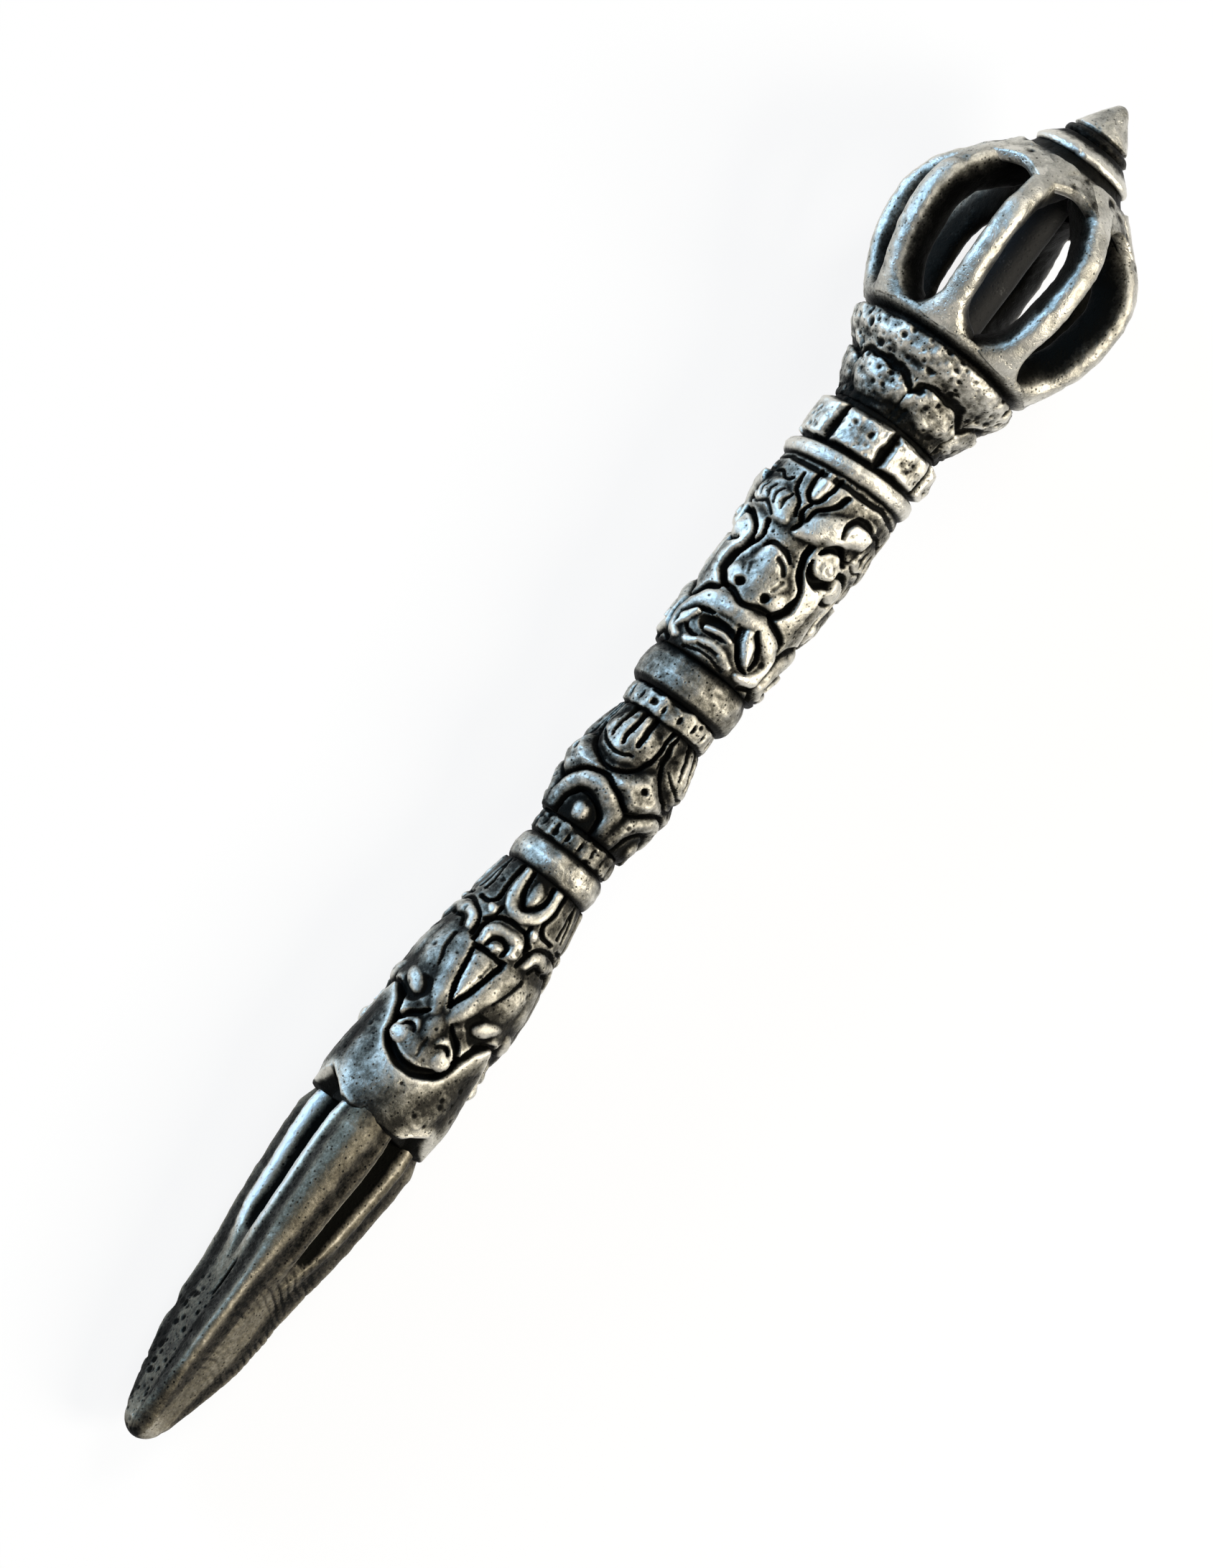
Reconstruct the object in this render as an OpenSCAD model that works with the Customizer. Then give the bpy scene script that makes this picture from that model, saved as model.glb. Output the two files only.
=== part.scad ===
// Phurba: a three-edged ritual dagger of white metal, its castings threaded on one rod.
// Each piece is drawn on the dagger's own axis, point down: z grows from the point to the
// finial, angle 0 is the front edge of the blade, and angles grow to the right of that edge.
// laid_down() then lays every piece on its side, as the dagger rests on a table.

/* [Blade] */
// Length of the blade below the sea-monster heads
blade_len = 27.8; // [22:0.2:38]
// Distance from the axis to a blade edge, where the blade leaves the heads
blade_root_r = 5.5; // [5:0.1:5.8]
// Rounding of a blade edge at the same place
blade_root_round = 1.7; // [1.2:0.1:2]
// Length of the point, where the three edges turn in
point_len = 9.2; // [6:0.2:14]
// Distance from the axis to a blade edge where the point starts
point_r = 3.95; // [3.2:0.05:4.6]
// Rounding of a blade edge where the point starts
point_round = 0.9; // [0.6:0.1:1.4]
// Radius of the blunt tip
tip_r = 1.3; // [0.8:0.1:1.8]
// Width of the flute in each blade face
flute_w = 2.6; // [1.6:0.1:3]
// Depth of that flute at the heads
flute_depth = 1.3; // [0.6:0.1:1.5]
// Length of that flute, down from the heads
flute_len = 10.5; // [6:0.5:14]

/* [Rod] */
// Radius of the rod that all the castings are threaded on
rod_r = 1.4; // [1:0.1:1.6]
// Play between the rod and the bores it runs through
rod_play = 0.05; // [0.02:0.01:0.15]
// Length of the rod that is set in the blade
rod_in_blade = 7; // [4:0.5:9]
// Length of the rod that is set in the bud
rod_in_bud = 1.6; // [1:0.1:2]

/* [Sea-monster heads] */
// Height of the casting with the three sea-monster heads
monster_h = 21.5; // [18:0.5:26]
// Radius of its lips, which are closed round the blade
monster_lip_r = 4.95; // [4.8:0.05:5.3]
// Radius at the eyes, its widest place
monster_eye_r = 5.1; // [4.8:0.05:5.3]
// Radius at its top
monster_top_r = 3.65; // [3.4:0.05:4]
// Height of the eyes above the lips
monster_eye_z = 10.4; // [9:0.1:12]
// Angle from the middle of a head to its eyes
monster_eye_turn = 43; // [38:1:46]
// How far a snout stands out of the casting
snout_proud = 0.55; // [0.2:0.05:0.8]

/* [Rings and beads] */
// Height of the smooth ring above the sea-monster heads
lower_ring_h = 2.5; // [1.8:0.1:3.5]
// Outer radius of that ring
lower_ring_r = 3.6; // [3.3:0.05:4.2]
// Height of the smooth ring below the deity heads
upper_ring_h = 3.2; // [2:0.1:4]
// Outer radius of that ring
upper_ring_r = 4.2; // [3.8:0.05:4.8]
// Height of a beaded ring
bead_ring_h = 1.9; // [1.6:0.1:2.6]
// Outer radius of the lower beaded ring
lower_bead_r = 3.55; // [3.2:0.05:4]
// Outer radius of the upper beaded ring
upper_bead_r = 3.85; // [3.5:0.05:4.2]
// Radius of one bead
bead_r = 0.5; // [0.4:0.01:0.6]
// Beads on a ring
bead_count = 18; // [12:1:18]

/* [Knot] */
// Height of the knot
knot_h = 9.6; // [8:0.2:12]
// Radius of the knot at its ends
knot_end_r = 3.5; // [3.2:0.1:3.8]
// Radius of the knot's body at its middle
knot_mid_r = 4.1; // [3.7:0.1:4.4]
// Radius of the cords that the knot is tied of
knot_cord_r = 0.5; // [0.35:0.05:0.6]
// Loops round the knot
knot_count = 4; // [3:1:5]

/* [Deity heads] */
// Height of the casting with the three wrathful faces
deity_h = 16.8; // [15:0.2:20]
// Radius at the brows
deity_brow_r = 5.0; // [4.6:0.1:5.4]
// Radius at the cheeks
deity_cheek_r = 4.6; // [4.3:0.05:5]
// Radius at the jaw
deity_jaw_r = 4.25; // [4:0.05:4.5]
// Radius of an eye
eye_r = 0.95; // [0.7:0.05:1.1]
// Angle from the middle of a face to its eyes
eye_turn = 43; // [38:1:46]
// How far a nose stands out of its face
nose_proud = 0.9; // [0.5:0.05:1.2]

/* [Crown] */
// Height of the diadem ring above the faces
diadem_h = 1.6; // [1.2:0.1:2.4]
// Outer radius of the diadem ring
diadem_r = 5.1; // [4.7:0.05:5.5]
// Height of the band of blocks
block_band_h = 3.7; // [2.8:0.1:5]
// Outer radius of a block
block_r = 4.95; // [4.7:0.05:5.3]
// How far a block stands out of its band
block_proud = 0.6; // [0.3:0.05:0.9]
// Blocks round the band
block_count = 7; // [6:1:9]
// Gap between two blocks
block_gap = 0.8; // [0.5:0.1:1.4]

/* [Lotus] */
// Height of the lotus below the cage
lotus_h = 6.3; // [5:0.1:8]
// Radius of its neck
lotus_neck_r = 4.75; // [4.5:0.05:5]
// Radius at the top of its petals
lotus_petal_r = 6.55; // [6.1:0.05:6.7]
// Radius of its smooth rim
lotus_rim_r = 7.0; // [6.8:0.05:7.3]
// Height of that rim
lotus_rim_h = 1.5; // [1:0.1:2]
// Petals round the lotus
petal_count = 6; // [5:1:8]
// Width of the groove between two petals
petal_groove = 0.8; // [0.4:0.1:1.2]

/* [Cage] */
// Height of the base plate that carries the prongs
cage_base_h = 1.5; // [1.3:0.1:2.2]
// Radius of the base plate
cage_base_r = 7.6; // [7.3:0.1:8]
// Height of the dark seam under the base plate's rim
seam_h = 0.5; // [0.3:0.05:0.6]
// Depth of that seam
seam_depth = 0.9; // [0.4:0.1:1.2]
// Greatest radius of the cage
cage_r = 9.9; // [9:0.1:11]
// Height of that place above the base plate
waist_h = 7.4; // [6:0.1:9]
// Radius of the outside of a prong above the waist
shoulder_arc_r = 7.0; // [6:0.1:8]
// Distance from the axis to the middle of a prong's end, at the hub
prong_end_r = 3.5; // [3.3:0.1:4]
// Curved prongs round the cage
prong_count = 8; // [6:1:8]
// Thickness of a curved prong
prong_w = 2.2; // [1.6:0.1:2.4]
// Height of the hub, where the prongs meet
hub_h = 2.4; // [1.9:0.1:3]
// Radius of the tenons on a prong's ends
tenon_r = 0.4; // [0.25:0.05:0.5]
// Length of those tenons
tenon_len = 0.5; // [0.3:0.05:0.6]
// Play of those tenons in their holes
tenon_play = 0.04; // [0.02:0.01:0.08]

/* [Finial] */
// Height of the collar above the hub
collar_h = 1.7; // [1.4:0.1:2.4]
// Radius of the collar's lip
collar_r = 3.9; // [3.4:0.1:4.3]
// Height of the bud above the collar
bud_h = 4.0; // [3:0.1:6]
// Radius of the bud's band
bud_r = 2.85; // [2.4:0.05:3.2]
// Radius of the bud's point
bud_tip_r = 0.7; // [0.4:0.1:1]

/* [How the castings are turned on the rod] */
// Turn of the faces from the blade's front edge
deity_turn = -4; // [-60:1:60]
// Turn of the knot's loops
knot_turn = -16; // [-45:1:45]
// Turn of the first gap in the band of blocks
block_turn = 16; // [-25:1:25]
// Turn of the first groove between lotus petals
lotus_turn = 0; // [-30:1:30]
// Turn of the first curved prong
cage_turn = -10; // [-22:1:22]

/* [Hidden] */
$fn = 64;
hull_fn = 32;
eps = 0.01;
faces = 3;
face_pitch = 360 / faces;
bore_r = rod_r + rod_play;

// The stack, piece on piece: the height at which each one starts, from the blade's point
monster_z = blade_len;
lower_ring_z = monster_z + monster_h;
lower_bead_z = lower_ring_z + lower_ring_h;
knot_z = lower_bead_z + bead_ring_h;
upper_bead_z = knot_z + knot_h;
upper_ring_z = upper_bead_z + bead_ring_h;
deity_z = upper_ring_z + upper_ring_h;
mouth_z = deity_z + 3.35;
diadem_z = deity_z + deity_h;
block_band_z = diadem_z + diadem_h;
lotus_z = block_band_z + block_band_h;
cage_base_z = lotus_z + lotus_h;
cage_z = cage_base_z + cage_base_h;
waist_z = cage_z + waist_h;

// A prong's outside is an arc up to the waist, a second arc above it and then a straight run
// that climbs inward at shoulder_angle. The hub's flats stand square to those straight runs.
shoulder_angle = 45;
prong_pitch = 360 / prong_count;
rim_drop = cage_r - cage_base_r;
belly_arc_r = (pow(rim_drop, 2) + pow(waist_h, 2)) / (2 * rim_drop);
shoulder_axis_r = shoulder_arc_r - prong_w / 2;
shoulder_x = cage_r - shoulder_arc_r + shoulder_axis_r * cos(shoulder_angle);
shoulder_z = waist_z + shoulder_axis_r * sin(shoulder_angle);
straight_len = (shoulder_x - prong_end_r) / sin(shoulder_angle);
prong_end_z = shoulder_z + straight_len * cos(shoulder_angle);

// The collar sits on the hub, just clear of the prongs' upper corners.
collar_z = prong_end_z + prong_w / 2 * sin(shoulder_angle) + 0.05;
hub_z = collar_z - hub_h;
bud_z = collar_z + collar_h;
top_z = bud_z + bud_h;

// Lying down, the dagger rests on two prongs and on the sea monsters' lips. The rest tilt is the
// one at which both are equally far below the point of the blade: reach() says how far, and
// settled() closes in on the tilt.
lip_round = 0.9;
lip_z = monster_z + lip_round;
belly_x = (cage_r - belly_arc_r) * cos(prong_pitch / 2);
belly_axis_r = belly_arc_r - prong_w / 2;
function prong_reach(t) =
    belly_x * cos(t) + prong_w / 2
    + belly_axis_r * sqrt(pow(cos(prong_pitch / 2) * cos(t), 2) + pow(sin(t), 2));
function lip_reach(t) = (monster_lip_r - lip_round) * cos(t) + lip_round;
function settled(t, tries) =
    tries == 0 ? t
    : settled(asin((prong_reach(t) - lip_reach(t)) / (waist_z - lip_z)), tries - 1);
rest_tilt = settled(3, 6);
rest_height = lip_reach(rest_tilt) - lip_z * sin(rest_tilt);
rest_shift = (top_z - bud_tip_r) * cos(rest_tilt) + bud_tip_r
    + tip_r * cos(rest_tilt) - tip_r;
under = round((180 - cage_turn) / prong_pitch - 0.5) + 0.5;
rest_roll = 180 - cage_turn - prong_pitch * under;

silver = [0.75, 0.73, 0.68];
pale_silver = [0.82, 0.80, 0.75];
dark_silver = [0.50, 0.49, 0.47];

// Lays the dagger down: tip to the left, finial to the right, the middle of its box at x = 0.
module laid_down() {
    translate([-rest_shift / 2, 0, rest_height])
        rotate([0, 90 - rest_tilt, 0])
            rotate([0, 0, 180 + rest_roll])
                children();
}

// Puts children on the surface at radius r: their z points outward, x to the right and y up.
module facing(turn, z, r) {
    rotate([0, 0, turn])
        translate([r, 0, z])
            rotate([90, 0, 90])
                children();
}

// Repeats children n times round the axis.
module around(n, turn = 0) {
    for (i = [0:n - 1])
        rotate([0, 0, turn + i * 360 / n])
            children();
}

// The bore for the rod, through a piece that starts at z and is h high.
module rod_bore(z, h) {
    translate([0, 0, z - eps])
        cylinder(r = bore_r, h = h + 2 * eps);
}

// Points of an arc from [r - depth, z] to [r - depth, z + h] that reaches r half-way.
function bulge(r, z, h, depth, steps = 8) =
    let (arc_r = (pow(h / 2, 2) + pow(depth, 2)) / (2 * depth),
         half = asin(h / 2 / arc_r))
    [for (i = [0:steps])
        let (a = half * (2 * i / steps - 1))
        [r - arc_r + arc_r * cos(a), z + h / 2 + arc_r * sin(a)]];

// A casting turned to a profile of [radius, height] points, with the rod's bore.
module turned(z, h, points) {
    rotate_extrude()
        polygon(concat([[bore_r, z]], points, [[bore_r, z + h]]));
}

// A round bar bent to an arc of radius r in the plane it faces.
module bent_bar(r, bar_r, from, sweep) {
    rotate_extrude(angle = sweep, start = from)
        translate([r, 0])
            circle(bar_r);
}

// A round bar laid level round the axis at radius r, its middle at angle 0.
module girdle_bar(z, r, bar_r, sweep) {
    translate([0, 0, z])
        bent_bar(r, bar_r, -sweep / 2, sweep);
}

// A straight round bar between two places, each given as [turn, z, r].
module strut(from, to, bar_r) {
    start = [from[2] * cos(from[0]), from[2] * sin(from[0]), from[1]];
    way = [to[2] * cos(to[0]), to[2] * sin(to[0]), to[1]] - start;
    translate(start)
        rotate([0, acos(way[2] / norm(way)), atan2(way[1], way[0])])
            cylinder(r = bar_r, h = norm(way));
}

function face_distance(r, edge_round) = (r - edge_round) / 2 + edge_round;

module blade_edge_end(r, edge_round, z) {
    translate([r - edge_round, 0, z])
        sphere(edge_round, $fn = hull_fn);
}

// One flute, from above the root down to where it runs out of the face.
module flute() {
    root = face_distance(blade_root_r, blade_root_round) - flute_depth + flute_w / 2;
    share = flute_len / (blade_len - point_len);
    low_r = blade_root_r + (point_r - blade_root_r) * share;
    low_round = blade_root_round + (point_round - blade_root_round) * share;
    low = face_distance(low_r, low_round) + flute_w / 2 - 0.15;
    hull() {
        translate([root, 0, blade_len + flute_w])
            sphere(flute_w / 2, $fn = hull_fn);
        translate([low, 0, blade_len - flute_len + flute_w / 2])
            sphere(flute_w / 2, $fn = hull_fn);
    }
}

module blade() {
    color(silver)
        difference() {
            union() {
                hull()
                    around(faces) {
                        translate([blade_root_r - blade_root_round, 0, blade_len - 0.1])
                            cylinder(r = blade_root_round, h = 0.1, $fn = hull_fn);
                        blade_edge_end(point_r, point_round, point_len);
                    }
                hull() {
                    around(faces)
                        blade_edge_end(point_r, point_round, point_len);
                    translate([0, 0, tip_r])
                        sphere(tip_r, $fn = hull_fn);
                }
            }
            around(faces, face_pitch / 2)
                flute();
            rod_bore(blade_len - rod_in_blade - rod_play, rod_in_blade + rod_play);
        }
}

module central_rod() {
    z = blade_len - rod_in_blade;
    color(dark_silver)
        translate([0, 0, z])
            cylinder(r = rod_r, h = bud_z + rod_in_bud - z);
}

// One sea-monster head, at angle 0: crest with its jewel, horn arch, bands beside the forehead,
// brows, eyes, a broad snout and the ridges that run down the lips.
module monster_head() {
    eye_z = monster_z + monster_eye_z;
    snout_z = eye_z - 3.9;
    snout_r = 2.3;
    muzzle_r = monster_lip_r + snout_proud;
    horn_z = eye_z + 4.9;
    crest_z = monster_z + monster_h - 2.1;
    brow_r = monster_eye_r - 0.25;
    translate([muzzle_r - snout_r, 0, snout_z])
        sphere(snout_r);
    // bridge of the snout, and the bar whose ends are its nostrils
    strut([0, eye_z - 1.4, monster_eye_r - 0.4], [0, snout_z + 0.6, muzzle_r - 0.95], 0.85);
    strut([-25, snout_z - 0.45, muzzle_r - 1.05], [25, snout_z - 0.45, muzzle_r - 1.05], 0.95);
    for (side = [-1, 1]) {
        rotate([0, 0, side * monster_eye_turn])
            translate([monster_eye_r - 0.65, 0, eye_z])
                sphere(1);
        // brow, band beside the forehead and ridge down the lips
        strut([side * 50, eye_z + 2.1, brow_r], [side * 17, eye_z - 0.9, brow_r], 0.45);
        strut([side * 25, eye_z + 3.6, monster_eye_r - 0.7], [side * 9, eye_z - 1.6, brow_r], 0.6);
        strut([side * 58, eye_z - 1.2, monster_eye_r - 0.3],
              [side * 42, monster_z + 2.2, monster_lip_r - 0.62], 0.6);
    }
    facing(0, horn_z, monster_eye_r - 0.6)
        bent_bar(1.15, 0.48, -10, 200);
    facing(0, crest_z, monster_top_r + 0.25)
        bent_bar(1.35, 0.42, 165, 210);
    facing(0, crest_z + 0.3, monster_top_r + 0.1)
        sphere(0.55);
}

module monster_heads() {
    color(silver)
        difference() {
            union() {
                turned(monster_z, monster_h, concat(
                    [[monster_lip_r - lip_round, monster_z]],
                    bulge(monster_lip_r, monster_z, 2 * lip_round, lip_round),
                    [[monster_lip_r - 0.25, monster_z + 2 * lip_round + 0.2],
                     [monster_eye_r, monster_z + monster_eye_z - 1],
                     [monster_eye_r - 0.1, monster_z + monster_eye_z + 1.5],
                     [monster_top_r + 0.65, monster_z + monster_h - 4],
                     [monster_top_r, monster_z + monster_h]]));
                around(faces)
                    monster_head();
            }
            rod_bore(monster_z, monster_h);
        }
}

module smooth_ring(z, r, h) {
    turned(z, h, bulge(r, z, h, h / 6));
}

module lower_ring() {
    color(pale_silver)
        smooth_ring(lower_ring_z, lower_ring_r, lower_ring_h);
}

module upper_ring() {
    color(pale_silver)
        smooth_ring(upper_ring_z, upper_ring_r, upper_ring_h);
}

// A ring of beads, each sunk a little past its middle into a plain core.
module bead_ring(z, r) {
    core_r = r - bead_r * 0.85;
    color(silver)
        union() {
            turned(z, bead_ring_h, [[core_r, z], [core_r, z + bead_ring_h]]);
            around(bead_count)
                translate([r - bead_r, 0, z + bead_ring_h / 2])
                    sphere(bead_r);
        }
}

module lower_bead_ring() {
    bead_ring(lower_bead_z, lower_bead_r);
}

module upper_bead_ring() {
    bead_ring(upper_bead_z, upper_bead_r);
}

// The knot: loops that hang from its top, a diamond pad beside each, and arches below.
module knot() {
    mid = knot_z + knot_h / 2;
    loop_z = knot_z + knot_h * 0.66;
    arch_z = knot_z + knot_h * 0.3;
    step = 180 / knot_count;
    color(silver)
        difference() {
            union() {
                turned(knot_z, knot_h, concat(
                    [[knot_end_r, knot_z]],
                    bulge(knot_mid_r, knot_z + 1, knot_h - 2, 0.5),
                    [[knot_end_r, knot_z + knot_h]]));
                around(knot_count, knot_turn) {
                    facing(0, loop_z, knot_mid_r - 0.25)
                        bent_bar(1.3, knot_cord_r, 180, 180);
                    facing(0, arch_z, knot_mid_r - 0.25)
                        bent_bar(1.7, knot_cord_r, 0, 180);
                    facing(0, arch_z - 0.5, knot_mid_r - 0.3)
                        sphere(0.8);
                    facing(step, mid, knot_mid_r - 0.5)
                        rotate([0, 0, 45])
                            translate([0, 0, 0.4])
                                cube([1.9, 1.9, 0.8], center = true);
                }
            }
            rod_bore(knot_z, knot_h);
        }
}

// One wrathful face, at angle 0: bulging eyes, flame brows, broad nose, and a moustache
// that runs down both sides of the open mouth to the lower lip.
module deity_face() {
    eye_z = deity_z + 10.4;
    nose_z = deity_z + 8;
    nose_r = 1.9;
    bridge_r = 0.95;
    brow_z = deity_z + 13.3;
    brow_r = deity_brow_r - 0.25;
    lip_bar_r = 0.55;
    upper_lip_z = mouth_z + 1.5;
    lower_lip_z = mouth_z - 1.5;
    for (side = [-1, 1]) {
        facing(side * eye_turn, eye_z, deity_brow_r - 0.45)
            sphere(eye_r);
        strut([side * 8, brow_z - 1.2, brow_r], [side * 35, brow_z, brow_r], 0.7);
        strut([side * 33, brow_z - 0.1, brow_r], [side * 58, brow_z + 1.1, brow_r], 0.62);
        facing(side * 21, nose_z - 0.95, deity_cheek_r - 0.15)
            sphere(0.85);
        strut([side * 37, upper_lip_z + 0.1, deity_cheek_r - 0.15],
              [side * 46, lower_lip_z + 0.1, deity_jaw_r + 0.05], lip_bar_r - 0.02);
    }
    strut([0, eye_z + 0.3, deity_brow_r - 0.6], [0, nose_z, deity_cheek_r - 0.2], bridge_r);
    facing(0, nose_z, deity_cheek_r + nose_proud - nose_r)
        sphere(nose_r);
    girdle_bar(upper_lip_z, deity_cheek_r - 0.1, lip_bar_r, 76);
    girdle_bar(lower_lip_z, deity_jaw_r + 0.05, 0.5, 40);
}

module deity_heads() {
    color(silver)
        difference() {
            union() {
                turned(deity_z, deity_h, concat(
                    [[deity_jaw_r, deity_z],
                     [deity_cheek_r, deity_z + 2.2],
                     [deity_cheek_r, deity_z + 7.5],
                     [deity_brow_r, deity_z + 11.5]],
                    [[deity_brow_r + 0.1, deity_z + deity_h - 2],
                     [deity_brow_r - 0.2, deity_z + deity_h]]));
                around(faces, deity_turn)
                    deity_face();
            }
            rod_bore(deity_z, deity_h);
            around(faces, deity_turn)
                facing(0, mouth_z, deity_cheek_r - 0.5)
                    cylinder(r1 = 0.75, r2 = 0.95, h = 2);
        }
}

module diadem_ring() {
    color(pale_silver)
        turned(diadem_z, diadem_h, bulge(diadem_r, diadem_z, diadem_h, 0.5));
}

module block_band() {
    core_r = block_r - block_proud;
    margin = 0.35;
    color(silver)
        difference() {
            turned(block_band_z, block_band_h, concat(
                [[core_r, block_band_z], [core_r, block_band_z + margin]],
                bulge(block_r, block_band_z + margin, block_band_h - 2 * margin, 0.25),
                [[core_r, block_band_z + block_band_h - margin],
                 [core_r, block_band_z + block_band_h]]));
            around(block_count, block_turn)
                translate([core_r, -block_gap / 2, block_band_z - eps])
                    cube([block_proud * 2, block_gap, block_band_h + 2 * eps]);
        }
}

// The lotus: neck, a bell of petals with a groove between each two, and a smooth rim.
module lotus() {
    neck_h = 1.6;
    petal_z = lotus_z + neck_h;
    rim_z = cage_base_z - lotus_rim_h;
    lean = atan((lotus_petal_r - lotus_neck_r) / (rim_z - petal_z));
    color(silver)
        difference() {
            turned(lotus_z, lotus_h, concat(
                [[lotus_neck_r, lotus_z],
                 [lotus_neck_r, petal_z],
                 [(lotus_neck_r + lotus_petal_r) / 2 + 0.2, (petal_z + rim_z) / 2],
                 [lotus_petal_r, rim_z]],
                bulge(lotus_rim_r, rim_z, lotus_rim_h, 0.4)));
            around(petal_count, lotus_turn)
                translate([lotus_neck_r, 0, petal_z - 0.2])
                    rotate([0, lean, 0])
                        cylinder(r = petal_groove / 2, h = (rim_z - petal_z) / cos(lean));
        }
}

// The middle of a prong's foot, where its tenon goes into the base plate
foot_x = cage_r - belly_arc_r + sqrt(pow(belly_axis_r, 2) - pow(waist_h, 2));

module cage_base() {
    rim_z = cage_base_z + seam_h;
    rim_h = cage_base_h - seam_h;
    neck_r = lotus_rim_r - seam_depth;
    color(silver)
        difference() {
            turned(cage_base_z, cage_base_h, concat(
                [[neck_r, cage_base_z], [neck_r, rim_z]],
                bulge(cage_base_r, rim_z, rim_h, 0.2)));
            around(prong_count, cage_turn)
                translate([foot_x, 0, cage_z - tenon_len - tenon_play])
                    cylinder(r = tenon_r + tenon_play, h = tenon_len + tenon_play + eps);
        }
}

// What runs through a prong's straight upper end, from that end down: its z points to the hub.
module at_prong_end() {
    translate([prong_end_r, 0, prong_end_z])
        rotate([0, -shoulder_angle, 0])
            children();
}

module curved_prong(i) {
    belly_sweep = asin(waist_h / belly_axis_r) + 12;
    color(pale_silver)
        rotate([0, 0, cage_turn + (i - 1) * prong_pitch])
            union() {
                difference() {
                    translate([cage_r - belly_arc_r, 0, waist_z])
                        rotate([90, 0, 0])
                            bent_bar(belly_axis_r, prong_w / 2, -belly_sweep, belly_sweep);
                    translate([0, -prong_w, cage_base_z - waist_h])
                        cube([2 * cage_r, 2 * prong_w, waist_h + cage_base_h]);
                }
                translate([cage_r - shoulder_arc_r, 0, waist_z])
                    rotate([90, 0, 0])
                        bent_bar(shoulder_axis_r, prong_w / 2, 0, shoulder_angle);
                at_prong_end()
                    translate([0, 0, -straight_len - 0.1])
                        cylinder(r = prong_w / 2 + 0.02, h = straight_len + 0.1);
                at_prong_end()
                    translate([0, 0, -eps])
                        cylinder(r = tenon_r, h = tenon_len + eps);
                translate([foot_x, 0, cage_z - tenon_len])
                    cylinder(r = tenon_r, h = tenon_len + eps);
            }
}

module hub() {
    flat = function (z) prong_end_r + (z - prong_end_z) / tan(shoulder_angle);
    corner = 1 / cos(prong_pitch / 2);
    color(silver)
        difference() {
            translate([0, 0, hub_z])
                rotate([0, 0, cage_turn + prong_pitch / 2])
                    cylinder(r1 = flat(hub_z) * corner, r2 = flat(collar_z) * corner,
                             h = hub_h, $fn = prong_count);
            rod_bore(hub_z, hub_h);
            around(prong_count, cage_turn)
                at_prong_end()
                    translate([0, 0, -eps])
                        cylinder(r = tenon_r + tenon_play, h = tenon_len + tenon_play + eps);
        }
}

module collar() {
    recess_h = 0.45;
    lip_h = 0.9;
    recess_r = collar_r - 0.6;
    color(silver)
        turned(collar_z, collar_h, concat(
            [[recess_r, collar_z]],
            bulge(collar_r, collar_z + recess_h, lip_h, 0.25),
            [[bud_r + 0.15, bud_z - 0.2], [bud_r, bud_z]]));
}

// The bud: a short band, then a cone that swells a little and ends in a rounded point.
module bud() {
    band_h = 0.6;
    steps = 8;
    tip_z = top_z - bud_tip_r;
    color(pale_silver)
        difference() {
            rotate_extrude()
                polygon(concat(
                    [[0, bud_z], [bud_r - 0.15, bud_z], [bud_r, bud_z + band_h],
                     [(bud_r + bud_tip_r) / 2 + 0.2, (bud_z + band_h + tip_z) / 2]],
                    [for (i = [2:steps])
                        let (a = 90 * i / steps)
                        [bud_tip_r * cos(a), tip_z + bud_tip_r * sin(a)]]));
            translate([0, 0, bud_z - eps])
                cylinder(r = bore_r, h = rod_in_bud + rod_play + eps);
        }
}

laid_down() blade();
laid_down() central_rod();
laid_down() monster_heads();
laid_down() lower_ring();
laid_down() lower_bead_ring();
laid_down() knot();
laid_down() upper_bead_ring();
laid_down() upper_ring();
laid_down() deity_heads();
laid_down() diadem_ring();
laid_down() block_band();
laid_down() lotus();
laid_down() cage_base();
for (i = [1:prong_count])
    laid_down() curved_prong(i);
laid_down() hub();
laid_down() collar();
laid_down() bud();
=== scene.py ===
import math
from itertools import product

import bpy
import numpy as np
from mathutils import Matrix, Vector


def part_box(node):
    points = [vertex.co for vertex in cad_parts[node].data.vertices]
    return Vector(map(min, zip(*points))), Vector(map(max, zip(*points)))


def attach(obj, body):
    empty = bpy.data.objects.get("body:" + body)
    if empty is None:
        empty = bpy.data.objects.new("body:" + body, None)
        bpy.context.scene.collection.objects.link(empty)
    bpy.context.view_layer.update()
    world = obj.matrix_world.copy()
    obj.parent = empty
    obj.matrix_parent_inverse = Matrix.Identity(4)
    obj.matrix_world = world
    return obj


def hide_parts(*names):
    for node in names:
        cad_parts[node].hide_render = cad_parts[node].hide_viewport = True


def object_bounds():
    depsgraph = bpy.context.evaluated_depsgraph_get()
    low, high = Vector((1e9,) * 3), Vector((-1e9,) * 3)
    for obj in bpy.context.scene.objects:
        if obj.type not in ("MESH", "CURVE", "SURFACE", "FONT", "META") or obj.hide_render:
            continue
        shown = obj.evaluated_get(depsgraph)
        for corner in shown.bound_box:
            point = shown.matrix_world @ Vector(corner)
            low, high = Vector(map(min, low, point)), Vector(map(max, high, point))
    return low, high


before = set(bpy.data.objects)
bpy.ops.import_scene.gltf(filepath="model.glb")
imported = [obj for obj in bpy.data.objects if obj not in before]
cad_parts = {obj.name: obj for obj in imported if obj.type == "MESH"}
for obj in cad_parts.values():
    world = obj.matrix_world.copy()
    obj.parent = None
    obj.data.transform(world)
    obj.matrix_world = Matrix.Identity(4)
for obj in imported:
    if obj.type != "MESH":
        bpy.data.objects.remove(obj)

cad_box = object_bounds()

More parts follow.
